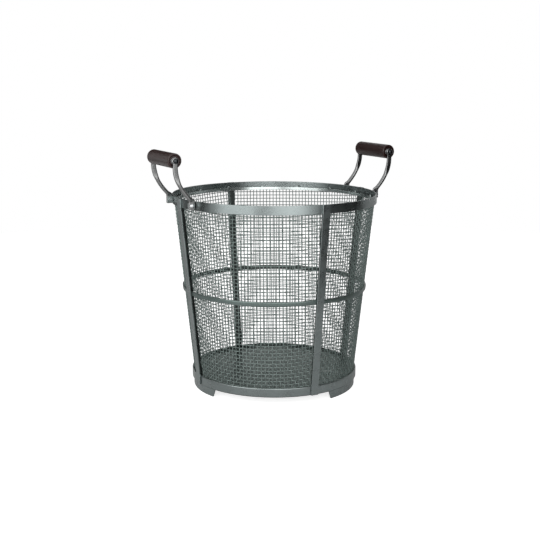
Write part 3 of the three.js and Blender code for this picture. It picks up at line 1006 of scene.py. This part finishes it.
@dataclass
class Stays:
    """The four flat stays outside the hoops, and the upright bars behind them."""

    cone: Cone
    thickness: float = 3 * MM
    edge: float = 0.7 * MM
    bend_radius: float = 14 * MM
    bend_steps: int = 8
    bar_edge: float = 0.5 * MM

    def bar_outline(self, inset: float) -> list[Point]:
        """Outline of a bar from the side, with its notch for the ring.

        Args:
            inset: How far the outline lies inside the full one.

        Returns:
            Distances from the bin's axis, and heights.
        """
        box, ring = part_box("upright_bar_right"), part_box("mid_ring")
        base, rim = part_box("bottom_band")[1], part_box("top_band")
        depth = self.cone.radius(box[0].z) - box[0].x
        lean = (rim[1].x - base.x) / (rim[0].z - base.z)

        def inner(z: float) -> Point:
            """A point on the side towards the logs."""
            return self.cone.radius(z) - depth + inset, z

        def notch(z: float) -> Point:
            """A point in the notch."""
            return self.cone.radius(z) - inset, z

        def back(z: float) -> Point:
            """A point on the side towards the stay."""
            return base.x + (z - base.z) * lean - inset, z

        low, top = box[0].z + inset, box[1].z - inset
        notch_low, notch_top = ring[0].z - SEAT - inset, ring[1].z + SEAT + inset
        return [
            inner(low), back(low), back(notch_low), notch(notch_low),
            notch(notch_top), back(notch_top), back(top), inner(top),
        ]

    def bar(self) -> bpy.types.Mesh:
        """The bar behind the stay at +X."""
        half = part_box("upright_bar_right")[1].y
        flat = half - self.bar_edge
        stations = [(-half, self.bar_edge), (-flat, 0.0), (flat, 0.0), (half, self.bar_edge)]
        rings = [[Vector((r, y, z)) for r, z in self.bar_outline(inset)] for y, inset in stations]
        return skin("bar", rings)

    def build(self) -> None:
        """Makes and dresses the stays and the bars."""
        low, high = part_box("stay_right")
        base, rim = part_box("bottom_band")[1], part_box("top_band")
        middle = SEAT + self.thickness / 2
        corners = [
            (base.x + middle, low.z), (base.x + middle, base.z),
            (rim[1].x + middle, rim[0].z), (rim[1].x + middle, high.z),
        ]
        bent = rounded_outline(corners, self.bend_radius, closed=False, steps=self.bend_steps, support=0)
        line = [Vector(point) for point in bent]
        marks = [0.0]
        for start, end in zip(line, line[1:]):
            marks.append(marks[-1] + (end - start).length)
        slants = [(end - start).normalized() for start, end in zip(line, line[1:])]
        slants = [slants[0]] + [(a + b).normalized() for a, b in zip(slants, slants[1:])] + [slants[-1]]

        def place(along: float, across: float, through: float) -> Vector:
            """Finds a point of the stay at +X.

            Args:
                along: Distance along the stay.
                across: Distance from the middle of its width.
                through: Distance out from the middle of its thickness.

            Returns:
                The point.
            """
            k = max(n for n in range(len(marks) - 1) if marks[n] <= along + ROUNDING)
            share = (along - marks[k]) / (marks[k + 1] - marks[k])
            point = line[k].lerp(line[k + 1], share)
            slant = slants[k].lerp(slants[k + 1], share).normalized()
            return Vector((point.x + slant.y * through, across, point.y - slant.x * through))

        stay, bar = strip("stay", place, marks, high.y - low.y, self.thickness, self.edge), self.bar()
        for k, label in enumerate(("right", "back", "left", "front")):
            turn = about_z(k * QUARTER_TURN)
            add_piece(f"flat_stay_{label}", moved(stay, turn), FRAME_PAINT, [f"stay_{label}"])
            # painted shade: the bars take a darker copy of the frame paint, and their sides the shaded paint
            piece = add_piece(f"backing_bar_{label}", moved(bar, turn), BAR_SHADE_PAINT, [f"upright_bar_{label}"])
            repaint(piece, SHADED_PAINT, lambda face: abs(outward(face)) < FACING)


@dataclass
class Feet:
    """The two curved strips that the bin stands on, with leaning ends."""

    thickness: float = 3 * MM
    edge: float = 0.6 * MM
    arc: float = math.radians(90)
    end_slope: float = math.radians(21)
    centre: float = math.radians(-29.5)
    steps: int = 48

    def build(self) -> None:
        """Makes and dresses the feet."""
        low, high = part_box("foot_right")
        height = high.z - low.z
        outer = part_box("base_plate")[1].x
        length = self.arc * outer
        spread = math.tan(self.end_slope) / outer

        def place(along: float, across: float, through: float) -> Vector:
            """Finds a point of the right foot.

            Args:
                along: Distance along the foot.
                across: Distance up from its mid height.
                through: Distance out from the middle of its thickness.

            Returns:
                The point.
            """
            z = low.z + height / 2 + across
            angle = self.centre + (along / length - 0.5) * (self.arc + 2 * z * spread)
            radius = outer - self.thickness / 2 + through
            return Vector((radius * math.cos(angle), radius * math.sin(angle), z))

        foot = strip("foot", place, spaced(length, self.steps), height, self.thickness, self.edge)
        for label, turn in (("right", 0.0), ("left", HALF_TURN)):
            add_piece(f"base_foot_{label}", moved(foot, about_z(turn)), FRAME_PAINT, [f"foot_{label}"])


@dataclass
class WireCloth:
    """Four panels of plain woven wire, each cut flat and bent round the cone from bar to bar."""

    cone: Cone
    pitch: float = 7.4 * MM
    wire: float = 1.72 * MM
    turn_degrees: tuple[float, ...] = (-2.0, 1.2, -0.8, 1.6)
    spare_rows: float = 4.0
    spare_columns: float = 3.0
    steps: int = 4
    sides: int = 5

    def tree(self) -> NodeShape:
        """The tree that weaves one panel.

        Returns:
            The tree. Distances in it lie on the unrolled cone, from the cone's tip.
        """
        names = [
            "Pitch", "Wire", "Turn", "Centre", "Half angle", "Cone angle", "Tip height",
            "Low edge", "Top edge", "Side edge", "Half width", "Steps", "Sides",
        ]
        shape = NodeShape("woven_panel", names)
        circle = {"Radius": shape.given("Wire") * 0.5, "Resolution": shape.given("Sides")}
        section = shape.add("GeometryNodeCurvePrimitiveCircle", circle)
        shape.finish(*[self.wires(shape, section, lay) for lay in Lay])
        return shape

    def wires(self, shape: NodeShape, section: bpy.types.NodeSocket, lay: Lay) -> bpy.types.NodeSocket:
        """Adds the wires of one direction to the tree.

        Args:
            shape: The tree.
            section: The wire's round section.
            lay: The direction.

        Returns:
            The wires' geometry.
        """
        pitch, steps = shape.given("Pitch"), shape.given("Steps")
        middle = (shape.given("Low edge") + shape.given("Top edge")) * 0.5
        half_height = (shape.given("Top edge") - shape.given("Low edge")) * 0.5
        halves = [(shape.given("Half width") / pitch).up(), (half_height / pitch).up() + self.spare_rows]
        if lay is Lay.WEFT:
            halves.reverse()
        across, along = halves

        def row(half: Number, parts: Number | float, is_x: bool) -> bpy.types.NodeSocket:
            """Adds a straight row of points.

            Args:
                half: Pitches from the middle to each end.
                parts: Points in a pitch.
                is_x: Whether the row lies along X, and otherwise Y.

            Returns:
                The row.
            """
            start, gap = half * pitch * -1.0, pitch / parts
            ends = [shape.vector(v, 0.0, 0.0) if is_x else shape.vector(0.0, v, 0.0) for v in (start, gap)]
            line = {"Count": half * parts * 2.0 + 1.0, "Start Location": ends[0], "Offset": ends[1]}
            return shape.add("GeometryNodeMeshLine", line, mode="OFFSET")

        is_warp = lay is Lay.WARP
        copies = {"Points": row(across, 1.0, is_warp), "Instance": row(along, steps, not is_warp)}
        flat = shape.add("GeometryNodeInstanceOnPoints", copies)
        flat = shape.add("GeometryNodeRealizeInstances", {"Geometry": flat})

        split = shape.node("ShaderNodeSeparateXYZ", {"Vector": shape.add("GeometryNodeInputPosition", {})})
        x, y = (Number(shape, socket) for socket in split.outputs[:2])
        turn = shape.given("Turn")
        side = x * turn.cos() - y * turn.sin()
        out = x * turn.sin() + y * turn.cos() + middle
        distance = shape.math("SQRT", side * side + out * out)
        lean = shape.given("Cone angle")
        angle = shape.math("ARCTAN2", side, out) / lean.sin()
        past_middle = (angle.size() - shape.given("Half angle")) * distance * lean.sin()
        past_bar = past_middle + shape.given("Side edge")
        outside = (past_bar > 0.0) + (distance > shape.given("Top edge"))
        outside = outside + (shape.given("Low edge") - distance > 0.0)
        wave = (x / pitch * HALF_TURN).cos() * (y / pitch * HALF_TURN).cos()
        lift = wave * shape.given("Wire") * (0.5 * lay.value)
        radius = distance * lean.sin() + lift * lean.cos()
        height = distance * lean.cos() - lift * lean.sin() + shape.given("Tip height")
        bearing = angle + shape.given("Centre")
        bent = shape.vector(radius * bearing.cos(), radius * bearing.sin(), height)

        trimmed = {"Geometry": flat, "Selection": outside}
        kept = shape.add("GeometryNodeDeleteGeometry", trimmed, domain="POINT")
        laid = shape.add("GeometryNodeSetPosition", {"Geometry": kept, "Position": bent})
        path = shape.add("GeometryNodeMeshToCurve", {"Mesh": laid})
        wire = {"Curve": path, "Profile Curve": section, "Fill Caps": True}
        drawn = shape.add("GeometryNodeCurveToMesh", wire)
        return shape.add("GeometryNodeSetShadeSmooth", {"Geometry": drawn})

    def build(self) -> None:
        """Weaves and dresses the four panels."""
        low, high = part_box("cloth_panel_1")
        lean = math.atan(self.cone.slope)
        tip = self.cone.low_height - (self.cone.low_radius - self.wire) / self.cone.slope
        low_edge, top_edge = ((z - tip) / math.cos(lean) for z in (low.z, high.z))
        half_angle = QUARTER_TURN / 2
        widest = top_edge * math.sin(half_angle * math.sin(lean))
        bar_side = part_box("upright_bar_right")[1].y
        tree = self.tree()
        blank = bpy.data.meshes.new("blank")
        for k, turn in enumerate(self.turn_degrees):
            sizes = {
                "Pitch": self.pitch, "Wire": self.wire,
                "Turn": math.radians(turn), "Centre": (k + 0.5) * QUARTER_TURN,
                "Half angle": half_angle, "Cone angle": lean, "Tip height": tip,
                "Low edge": low_edge, "Top edge": top_edge, "Side edge": bar_side,
                "Half width": widest + self.spare_columns * self.pitch,
                "Steps": self.steps, "Sides": self.sides,
            }
            name = f"woven_panel_{k + 1}"
            mesh = tree.mesh(name, blank, WIRE_PAINT, sizes)
            add_piece(name, mesh, WIRE_PAINT, [f"cloth_panel_{2 * k + 1}", f"cloth_panel_{2 * k + 2}"])


@dataclass
class BarShape:
    """A bar's section: half its size out from the bin, half its size along the grip, and its corners."""

    depth: float
    width: float
    power: float

    def mixed(self, other: "BarShape", share: float) -> "BarShape":
        """A section between this one and another."""
        pairs = zip(vars(self).values(), vars(other).values())
        return BarShape(*[a + (b - a) * share for a, b in pairs])


def eased(value: float, start: float, end: float) -> float:
    """A smooth step from 0 at start to 1 at end."""
    share = min(max((value - start) / (end - start), 0.0), 1.0)
    return share * share * (3 - 2 * share)


@dataclass
class Handles:
    """The two handles: bent arms on lugs, turned grips, rods, spacers, cap nuts, bolts and nuts."""

    row: NodeShape
    clearance: float = 0.3 * MM
    arm: float = 8 * MM
    eye_width: float = 13.5 * MM
    eye_thickness: float = 4 * MM
    neck_width: float = 10 * MM
    neck_length: float = 13 * MM
    tab_width: float = 12.5 * MM
    tab_thickness: float = 4 * MM
    tab_corner: float = 1.6 * MM
    tab_rise: float = 2.5 * MM
    tab_steps: int = 5
    lug_edge: float = 0.4 * MM
    lug_steps: int = 3
    lower_bend: float = 3 * MM
    upper_bend: float = 40 * MM
    tab_blend: float = 0.28
    neck_blend: Point = (0.66, 0.84)
    round_power: float = 2.0
    flat_power: float = 5.0
    arm_sides: int = 36
    bend_steps: int = 30
    eye_steps: int = 22
    rod: float = 6 * MM
    rod_edge: float = 0.4 * MM
    bore_slack: float = 0.5 * MM
    dish_ring: float = 3.4 * MM
    dish_depth: float = 2.2 * MM
    grip_edges: tuple[float, ...] = (0.3 * MM, 1.4 * MM, 0.6 * MM, 1.9 * MM)
    grip_edge_steps: int = 6
    spacer_edge: float = 0.35 * MM
    bolt: float = 4 * MM
    bolt_tip_edge: float = 0.4 * MM
    bolt_head_edge: float = 0.25 * MM
    bolt_head_side: float = 0.8 * MM
    cap_bore_edge: float = 0.2 * MM
    cap_edge: float = 0.5 * MM
    cap_side: float = 3 * MM
    nut_width: float = 7 * MM
    nut_chamfer: float = 0.45 * MM
    nut_points: int = 48
    nut_sharp_degrees: float = 20.0
    grip_segments: int = 96
    small_segments: int = 40

    def __post_init__(self) -> None:
        """Takes the main places from the solids."""
        low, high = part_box("grip_right")
        middle = (low + high) / 2
        self.grip_x, self.grip_z = middle.x, middle.z
        self.grip_half, self.grip_radius = high.y, (high.z - low.z) / 2
        self.arm_y = self.grip_half + self.clearance + self.eye_thickness / 2
        bolt_low, bolt_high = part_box("foot_bolt_right_back")
        middle = (bolt_low + bolt_high) / 2
        self.tab_x, self.bolt_z = middle.x, middle.z
        self.bolt_end, self.bolt_top = bolt_low.y, bolt_high.y
        self.bolt_head = (bolt_high.z - bolt_low.z) / 2

    def section(self, centre: Vector, lean: float, shape: BarShape) -> list[Vector]:
        """One section of an arm.

        Args:
            centre: Its middle.
            lean: How far the arm leans out there.
            shape: Its size.

        Returns:
            Points round the section.
        """
        depth_axis = Vector((math.cos(lean), 0, -math.sin(lean)))
        points = []
        for k in range(self.arm_sides):
            out, along = squared_oval(WHOLE_TURN * (k + 0.5) / self.arm_sides, shape.power)
            points.append(centre + depth_axis * (shape.depth * out) + ALONG_Y * (shape.width * along))
        return points

    def arm_mesh(self, side: int) -> bpy.types.Mesh:
        """One arm of the right handle.

        Args:
            side: -1 for the front arm and 1 for the back arm.

        Returns:
            The arm, with its two holes.
        """
        y = side * self.arm_y
        tab_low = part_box("arm_right_back")[0].z
        tab = BarShape(self.tab_width / 2, self.tab_thickness / 2, self.flat_power)
        bar = BarShape(self.arm / 2, self.arm / 2, self.round_power)
        neck = BarShape(self.neck_width / 2, self.eye_thickness / 2, self.flat_power)
        rings = []
        for turn in spaced(QUARTER_TURN, self.tab_steps):
            narrowed = tab.depth - self.tab_corner * (1 - math.sin(turn))
            centre = Vector((self.tab_x, y, tab_low + self.tab_corner * (1 - math.cos(turn))))
            rings.append(self.section(centre, 0.0, BarShape(narrowed, tab.width, tab.power)))
        lug_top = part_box("lug_right_back")[1].z
        bend_low = max(self.bolt_z + self.bolt_head, lug_top) + self.tab_rise
        bend_top = self.grip_z - self.neck_length
        knots = [
            Vector((self.tab_x, y, bend_low)), Vector((self.tab_x, y, bend_low + self.lower_bend)),
            Vector((self.grip_x, y, bend_top - self.upper_bend)), Vector((self.grip_x, y, bend_top)),
        ]
        slants = [b - a for a, b in zip(knots, knots[1:])]
        for share in spaced(1.0, self.bend_steps):
            rest = 1 - share
            weights = (rest ** 3, 3 * rest ** 2 * share, 3 * rest * share ** 2, share ** 3)
            centre = sum((knot * weight for knot, weight in zip(knots, weights)), Vector())
            paces = (rest ** 2, 2 * rest * share, share ** 2)
            pace = sum((slant * weight for slant, weight in zip(slants, paces)), Vector())
            shape = tab.mixed(bar, eased(share, 0, self.tab_blend))
            shape = shape.mixed(neck, eased(share, *self.neck_blend))
            rings.append(self.section(centre, math.atan2(pace.x, pace.z), shape))
        radius = self.eye_width / 2
        joint = HALF_TURN - math.asin(self.neck_width / self.eye_width)
        for k in range(self.eye_steps):
            turn = joint * (1 - k / self.eye_steps)
            centre = Vector((self.grip_x, y, self.grip_z + radius * math.cos(turn)))
            rings.append(self.section(centre, 0.0, BarShape(radius * math.sin(turn), neck.width, neck.power)))
        holes = [
            (Vector((self.grip_x, y, self.grip_z)), self.rod + 2 * self.clearance),
            (Vector((self.tab_x, y, self.bolt_z)), self.bolt + 2 * self.clearance),
        ]
        return drilled(skin("arm", rings), holes)

    def lug_mesh(self, side: int) -> bpy.types.Mesh:
        """The square plate on the rim, inside one tab of the right handle.

        Args:
            side: -1 for the front arm and 1 for the back arm.

        Returns:
            The plate, with its hole.
        """
        low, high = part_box("lug_right_back")
        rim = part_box("top_band")[1].x
        root = [math.sqrt(rim ** 2 - y ** 2) - SEAT for y in (low.y, high.y)]
        corners = [(root[0], low.y), (high.x, low.y), (high.x, high.y), (root[1], high.y)]
        outline = rounded_outline(corners, self.lug_edge, steps=self.lug_steps)
        middle = Vector(((root[1] + high.x) / 2, (low.y + high.y) / 2))
        half = (high.y - low.y) / 2
        stations = [
            (low.z, self.lug_edge), (low.z + self.lug_edge, 0.0),
            (high.z - self.lug_edge, 0.0), (high.z, self.lug_edge),
        ]
        rings = []
        for z, inset in stations:
            points = [middle + (Vector(point) - middle) * (1 - inset / half) for point in outline]
            rings.append([Vector((p.x, side * p.y, z)) for p in points])
        hole = Vector((self.tab_x, side * middle.y, self.bolt_z))
        return drilled(skin("lug", rings), [(hole, self.bolt + 2 * self.clearance)])

    def along_y(self, mesh: bpy.types.Mesh, height: float) -> bpy.types.Mesh:
        """Lays a turned mesh along Y, at a height."""
        mesh.transform(Matrix.Translation((0, 0, height)) @ Matrix.Rotation(-QUARTER_TURN, 4, "X"))
        return mesh

    def grip_mesh(self) -> bpy.types.Mesh:
        """A grip, with its bore and a dish in each end."""
        half, radius = self.grip_half, self.grip_radius
        bore = self.rod / 2 + self.bore_slack
        dish, floor = radius - self.dish_ring, half - self.dish_depth
        corners = [
            (bore, -floor), (dish, -floor), (dish, -half), (radius, -half),
            (radius, half), (dish, half), (dish, floor), (bore, floor),
        ]
        edges = self.grip_edges + self.grip_edges[::-1]
        return turned("grip", rounded_outline(corners, edges, steps=self.grip_edge_steps), self.grip_segments)

    def rod_mesh(self) -> bpy.types.Mesh:
        """The rod through a grip."""
        low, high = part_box("grip_rod_right")
        corners = corners_of(0.0, self.rod / 2, low.y, high.y)
        outline = rounded_outline(corners, self.rod_edge, closed=False)
        return turned("rod", outline, self.small_segments, looped=False)

    def spacer_mesh(self) -> bpy.types.Mesh:
        """A washer in the dish of a grip's end."""
        low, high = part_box("washer_right_back")
        bore, radius = self.rod / 2 + self.clearance, (high.z - low.z) / 2
        outline = rounded_outline(corners_of(bore, radius, low.y, high.y), self.spacer_edge)
        return turned("spacer", outline, self.small_segments)

    def cap_mesh(self) -> bpy.types.Mesh:
        """A domed cap nut on the rod's end."""
        low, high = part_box("cap_nut_right_back")
        start = self.arm_y + self.eye_thickness / 2 + SEAT
        bore, radius = self.rod / 2 + self.clearance, (high.z - low.z) / 2
        bore_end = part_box("grip_rod_right")[1].y + self.clearance
        edge_top = low.y + self.cap_side
        corners = [(0.0, bore_end), (bore, bore_end), (bore, start), (radius, start), (radius, edge_top)]
        outline = rounded_outline(corners, [0, 0, self.cap_bore_edge, self.cap_edge, 0], closed=False)
        outline += dome(radius, edge_top, high.y - edge_top)[1:]
        return turned("cap", outline, self.small_segments, looped=False)

    def bolt_mesh(self) -> bpy.types.Mesh:
        """A bolt with a domed head, through a tab and its lug."""
        head, end = self.arm_y + self.tab_thickness / 2 + SEAT, self.bolt_end
        shank, radius = self.bolt / 2, self.bolt_head
        edge_top = head + self.bolt_head_side
        corners = [(0.0, end), (shank, end), (shank, head), (radius, head), (radius, edge_top)]
        edges = [0, self.bolt_tip_edge, 0, self.bolt_head_edge, 0]
        outline = rounded_outline(corners, edges, closed=False)
        outline += dome(radius, edge_top, self.bolt_top - edge_top)[1:]
        return turned("bolt", outline, self.small_segments, looped=False)

    def nut_mesh(self) -> bpy.types.Mesh:
        """A six-sided nut on the inner side of a lug."""
        low, top = (corner.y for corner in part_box("foot_nut_right_back"))
        bore, flat, chamfer = self.bolt / 2 + self.clearance, self.nut_width / 2, self.nut_chamfer
        turns = spaced(WHOLE_TURN, self.nut_points)[:-1]
        half_side = WHOLE_TURN / 12

        def ring(radius: float, z: float, is_six_sided: bool) -> list[Vector]:
            """Finds one ring of the nut.

            Args:
                radius: Its radius, or from its middle to its flats.
                z: Its height.
                is_six_sided: Whether it has six sides, and otherwise is round.

            Returns:
                The points of the ring.
            """
            points = []
            for turn in turns:
                reach = radius / math.cos(turn % (2 * half_side) - half_side) if is_six_sided else radius
                points.append(Vector((reach * math.cos(turn), reach * math.sin(turn), z)))
            return points

        rings = [
            ring(bore, low, False), ring(flat, low, False), ring(flat, low + chamfer, True),
            ring(flat, top - chamfer, True), ring(flat, top, False), ring(bore, top, False),
        ]
        return skin("nut", rings, looped=True, sharp=self.nut_sharp_degrees)

    def build(self) -> None:
        """Makes and dresses both handles."""
        ends = (("front", -1), ("back", 1))
        arms = {label: self.arm_mesh(side) for label, side in ends}
        lugs = {label: self.lug_mesh(side) for label, side in ends}
        grip, rod = (self.along_y(mesh, self.grip_z) for mesh in (self.grip_mesh(), self.rod_mesh()))
        for label, turn, body in (("right", 0.0, Body.RIGHT_GRIP), ("left", HALF_TURN, Body.LEFT_GRIP)):
            place = about_z(turn) @ Matrix.Translation((self.grip_x, 0, 0))
            add_piece(f"turned_grip_{label}", moved(grip, place), GRIP_WOOD, [f"grip_{label}"], body)
            add_piece(f"rod_{label}", moved(rod, place), DARK_PLATE, [f"grip_rod_{label}"])
            for end, _ in ends:
                arm, lug = (moved(meshes[end], about_z(turn)) for meshes in (arms, lugs))
                add_piece(f"bent_arm_{label}_{end}", arm, ARM_STEEL, [f"arm_{label}_{end}"])
                add_piece(f"handle_lug_{label}_{end}", lug, FRAME_PAINT, [f"lug_{label}_{end}"])
        on_grip, on_lug = (self.grip_x, self.grip_z), (self.tab_x, self.bolt_z)
        groups = (
            ("spacers", self.spacer_mesh(), on_grip, BRIGHT_ZINC, "washer"),
            ("cap_nuts", self.cap_mesh(), on_grip, DARK_PLATE, "cap_nut"),
            ("tab_bolts", self.bolt_mesh(), on_lug, BRIGHT_ZINC, "foot_bolt"),
            ("tab_nuts", self.nut_mesh(), on_lug, BRIGHT_ZINC, "foot_nut"),
        )
        for name, mesh, (offset, height), finish, node in groups:
            nodes = [f"{node}_{label}_{end}" for label in ("right", "left") for end, _ in ends]
            sizes = {"Per side": 2, "Start": 0.0, "Step": HALF_TURN, "Offset": offset}
            add_piece(name, self.row.mesh(name, self.along_y(mesh, height), finish, sizes), finish, nodes)


# Camera and studio


@dataclass(frozen=True)
class PhotoCamera:
    """The camera, placed by its fit to the rim, the ring, the bands, the stays, the feet and the grips."""

    bearing: float = math.radians(-27.3)
    distance: float = 2.1186
    height: float = 0.6606
    sideways: float = -0.00897
    pitch: float = math.radians(11.25)
    roll: float = math.radians(0.092)
    lens: float = 68.89
    sensor: float = 36.0
    clip_end: float = 50.0

    def axes(self) -> tuple[Vector, Vector]:
        """The level directions to the right and back towards the camera."""
        right = Vector((math.cos(self.bearing), math.sin(self.bearing), 0))
        back = Vector((math.sin(self.bearing), -math.cos(self.bearing), 0))
        return right, back

    def build(self) -> None:
        """Makes the camera and looks through it."""
        right, back = self.axes()
        place = right * self.sideways + back * self.distance + Vector((0, 0, self.height))
        ahead = -back * math.cos(self.pitch) - Vector((0, 0, math.sin(self.pitch)))
        up = right.cross(ahead)
        rolled_right = right * math.cos(self.roll) + up * math.sin(self.roll)
        rolled_up = up * math.cos(self.roll) - right * math.sin(self.roll)
        turn = Matrix((rolled_right, rolled_up, -ahead)).transposed().to_4x4()
        data = bpy.data.cameras.new("photo_camera")
        data.lens, data.sensor_width, data.clip_end = self.lens, self.sensor, self.clip_end
        camera = put("photo_camera", data)
        camera.matrix_world = Matrix.Translation(place) @ turn
        bpy.context.scene.camera = camera


@dataclass(frozen=True)
class Softbox:
    """A broad area lamp, placed round the bin by degrees from the camera's side."""

    name: str
    degrees: float
    distance: float
    height: float
    width: float
    depth: float
    power: float


@dataclass(frozen=True)
class Screen:
    """An upright screen, dark or grey, bent round the bin from one angle to another, in degrees.

    The camera sees it only in the metal.
    """

    name: str
    start: float
    end: float
    distance: float
    low: float
    high: float
    grey: float = 0.021


@dataclass
class Studio:
    """A pale floor, white surroundings, soft lamps, and the screens that the metal reflects."""

    camera: PhotoCamera
    floor_radius: float = 2.2
    floor_segments: int = 96
    floor_grey: float = 0.82
    floor_roughness: float = 0.9
    floor_glow: float = 0.8
    room_light: float = 0.5
    aim_height: float = 0.33
    lamps: tuple[Softbox, ...] = (
        Softbox("left_key_softbox", -39, 1.7, 0.78, 1.3, 1.2, 12.8),
        Softbox("right_key_softbox", 14.5, 1.7, 0.78, 1.27, 1.2, 12.5),
        Softbox("left_softbox", -130, 1.2, 1.7, 1.2, 1.2, 6.0),
    )
    screens: tuple[Screen, ...] = (
        Screen("right_screen", 43, 101, 0.8, 0.0, 1.4),
        Screen("right_grey_screen", 101, 170, 0.8, 0.0, 1.4, 0.7),
        Screen("back_left_screen", -162, -124, 1.15, 0.2, 2.2),
        Screen("back_screen", -192, -163, 1.15, 0.35, 1.3),
        Screen("left_screen", -116, -67, 1.5, 0.0, 1.1),
    )
    screen_steps: int = 12

    def bearing(self, angle: float) -> Vector:
        """A level direction, turned from the camera's side towards its right."""
        right, back = self.camera.axes()
        return back * math.cos(angle) + right * math.sin(angle)

    def seen(self, nodes: Nodes, *others: str) -> Number:
        """Tells which rays show the background.

        Args:
            nodes: The tree that asks.
            *others: Rays that count beside the camera's own.

        Returns:
            1 for those rays, and otherwise 0.
        """
        path = nodes.node("ShaderNodeLightPath", {})
        total = Number(nodes, path.outputs["Is Camera Ray"])
        for label in others:
            total = nodes.math("MAXIMUM", total, Number(nodes, path.outputs[label]))
        return total

    def scaled(self, nodes: Nodes, share: Number, low: float, high: float) -> bpy.types.NodeSocket:
        """A strength that is low where the share is 0 and high where it is 1."""
        return nodes.add("ShaderNodeMapRange", {"Value": share, "To Min": low, "To Max": high})

    def world(self) -> None:
        """Makes the white surroundings, which light the bin softly."""
        world = bpy.data.worlds.new("white_room")
        world.use_nodes = True
        nodes = Nodes(world.node_tree)
        glow = nodes.tree.nodes["Background"]
        share = self.seen(nodes, "Is Glossy Ray", "Is Transmission Ray")
        nodes.feed(glow.inputs["Color"], WHITE)
        nodes.feed(glow.inputs["Strength"], self.scaled(nodes, share, self.room_light, 1.0))
        bpy.context.scene.world = world

    def floor(self) -> None:
        """Makes the pale floor, which keeps the bin's shadow."""
        shape = bmesh.new()
        bmesh.ops.create_circle(shape, cap_ends=True, segments=self.floor_segments, radius=self.floor_radius)
        surface = Surface("pale_floor")
        glow = self.scaled(surface, self.seen(surface), 0.0, self.floor_glow)
        grey = (self.floor_grey, self.floor_grey, self.floor_grey, 1)
        surface.set(Base_Color=grey, Roughness=self.floor_roughness)
        surface.set(Emission_Color=WHITE, Emission_Strength=glow)
        self.stand("studio_floor", shape, surface)

    def screen(self, panel: Screen) -> None:
        """Stands one screen round the bin.

        Args:
            panel: The screen.
        """
        start, end = math.radians(panel.start), math.radians(panel.end)
        shape = bmesh.new()
        rows = []
        for turn in spaced(end - start, self.screen_steps):
            out = self.bearing(start + turn) * panel.distance
            rows.append([shape.verts.new(out + Vector((0, 0, z))) for z in (panel.low, panel.high)])
        for (low, high), (next_low, next_high) in zip(rows, rows[1:]):
            shape.faces.new((low, next_low, next_high, high))
        surface = Surface(panel.name)
        surface.set(Base_Color=(panel.grey, panel.grey, panel.grey, 1))
        self.stand(panel.name, shape, surface).visible_camera = False

    def stand(self, name: str, shape: bmesh.types.BMesh, surface: Surface) -> bpy.types.Object:
        """Stands a shape in the studio, beside the bin's pieces.

        Args:
            name: Name of the object.
            shape: The shape. It is used up.
            surface: Its material.

        Returns:
            The object.
        """
        mesh = settled(shape, name)
        mesh.materials.append(surface.material)
        piece = put(name, mesh)
        return piece

    def lamp(self, box: Softbox) -> None:
        """Hangs one softbox, facing the bin.

        Args:
            box: The softbox.
        """
        data = bpy.data.lights.new(box.name, "AREA")
        data.shape, data.energy = "RECTANGLE", box.power
        data.size, data.size_y = box.width, box.depth
        place = self.bearing(math.radians(box.degrees)) * box.distance + Vector((0, 0, box.height))
        aim = Vector((0, 0, self.aim_height)) - place
        lamp = put(box.name, data)
        lamp.matrix_world = Matrix.Translation(place) @ aim.to_track_quat("-Z", "Y").to_matrix().to_4x4()
        lamp.visible_camera = False

    def build(self) -> None:
        """Makes the studio."""
        self.world()
        self.floor()
        for panel in self.screens:
            self.screen(panel)
        for box in self.lamps:
            self.lamp(box)


def main() -> None:
    """Builds the bin and its studio."""
    logging.basicConfig(level=logging.INFO, format="%(name)s %(message)s")
    bpy.context.scene.view_settings.view_transform = "Standard"
    camera = PhotoCamera()
    camera.build()
    Studio(camera).build()
    cone = Cone()
    row = two_sided_row()
    for assembly in (Hoops(cone), ClampHoop(cone, row), Stays(cone), Feet(), WireCloth(cone), Handles(row)):
        assembly.build()


if __name__ == "__main__":
    main()
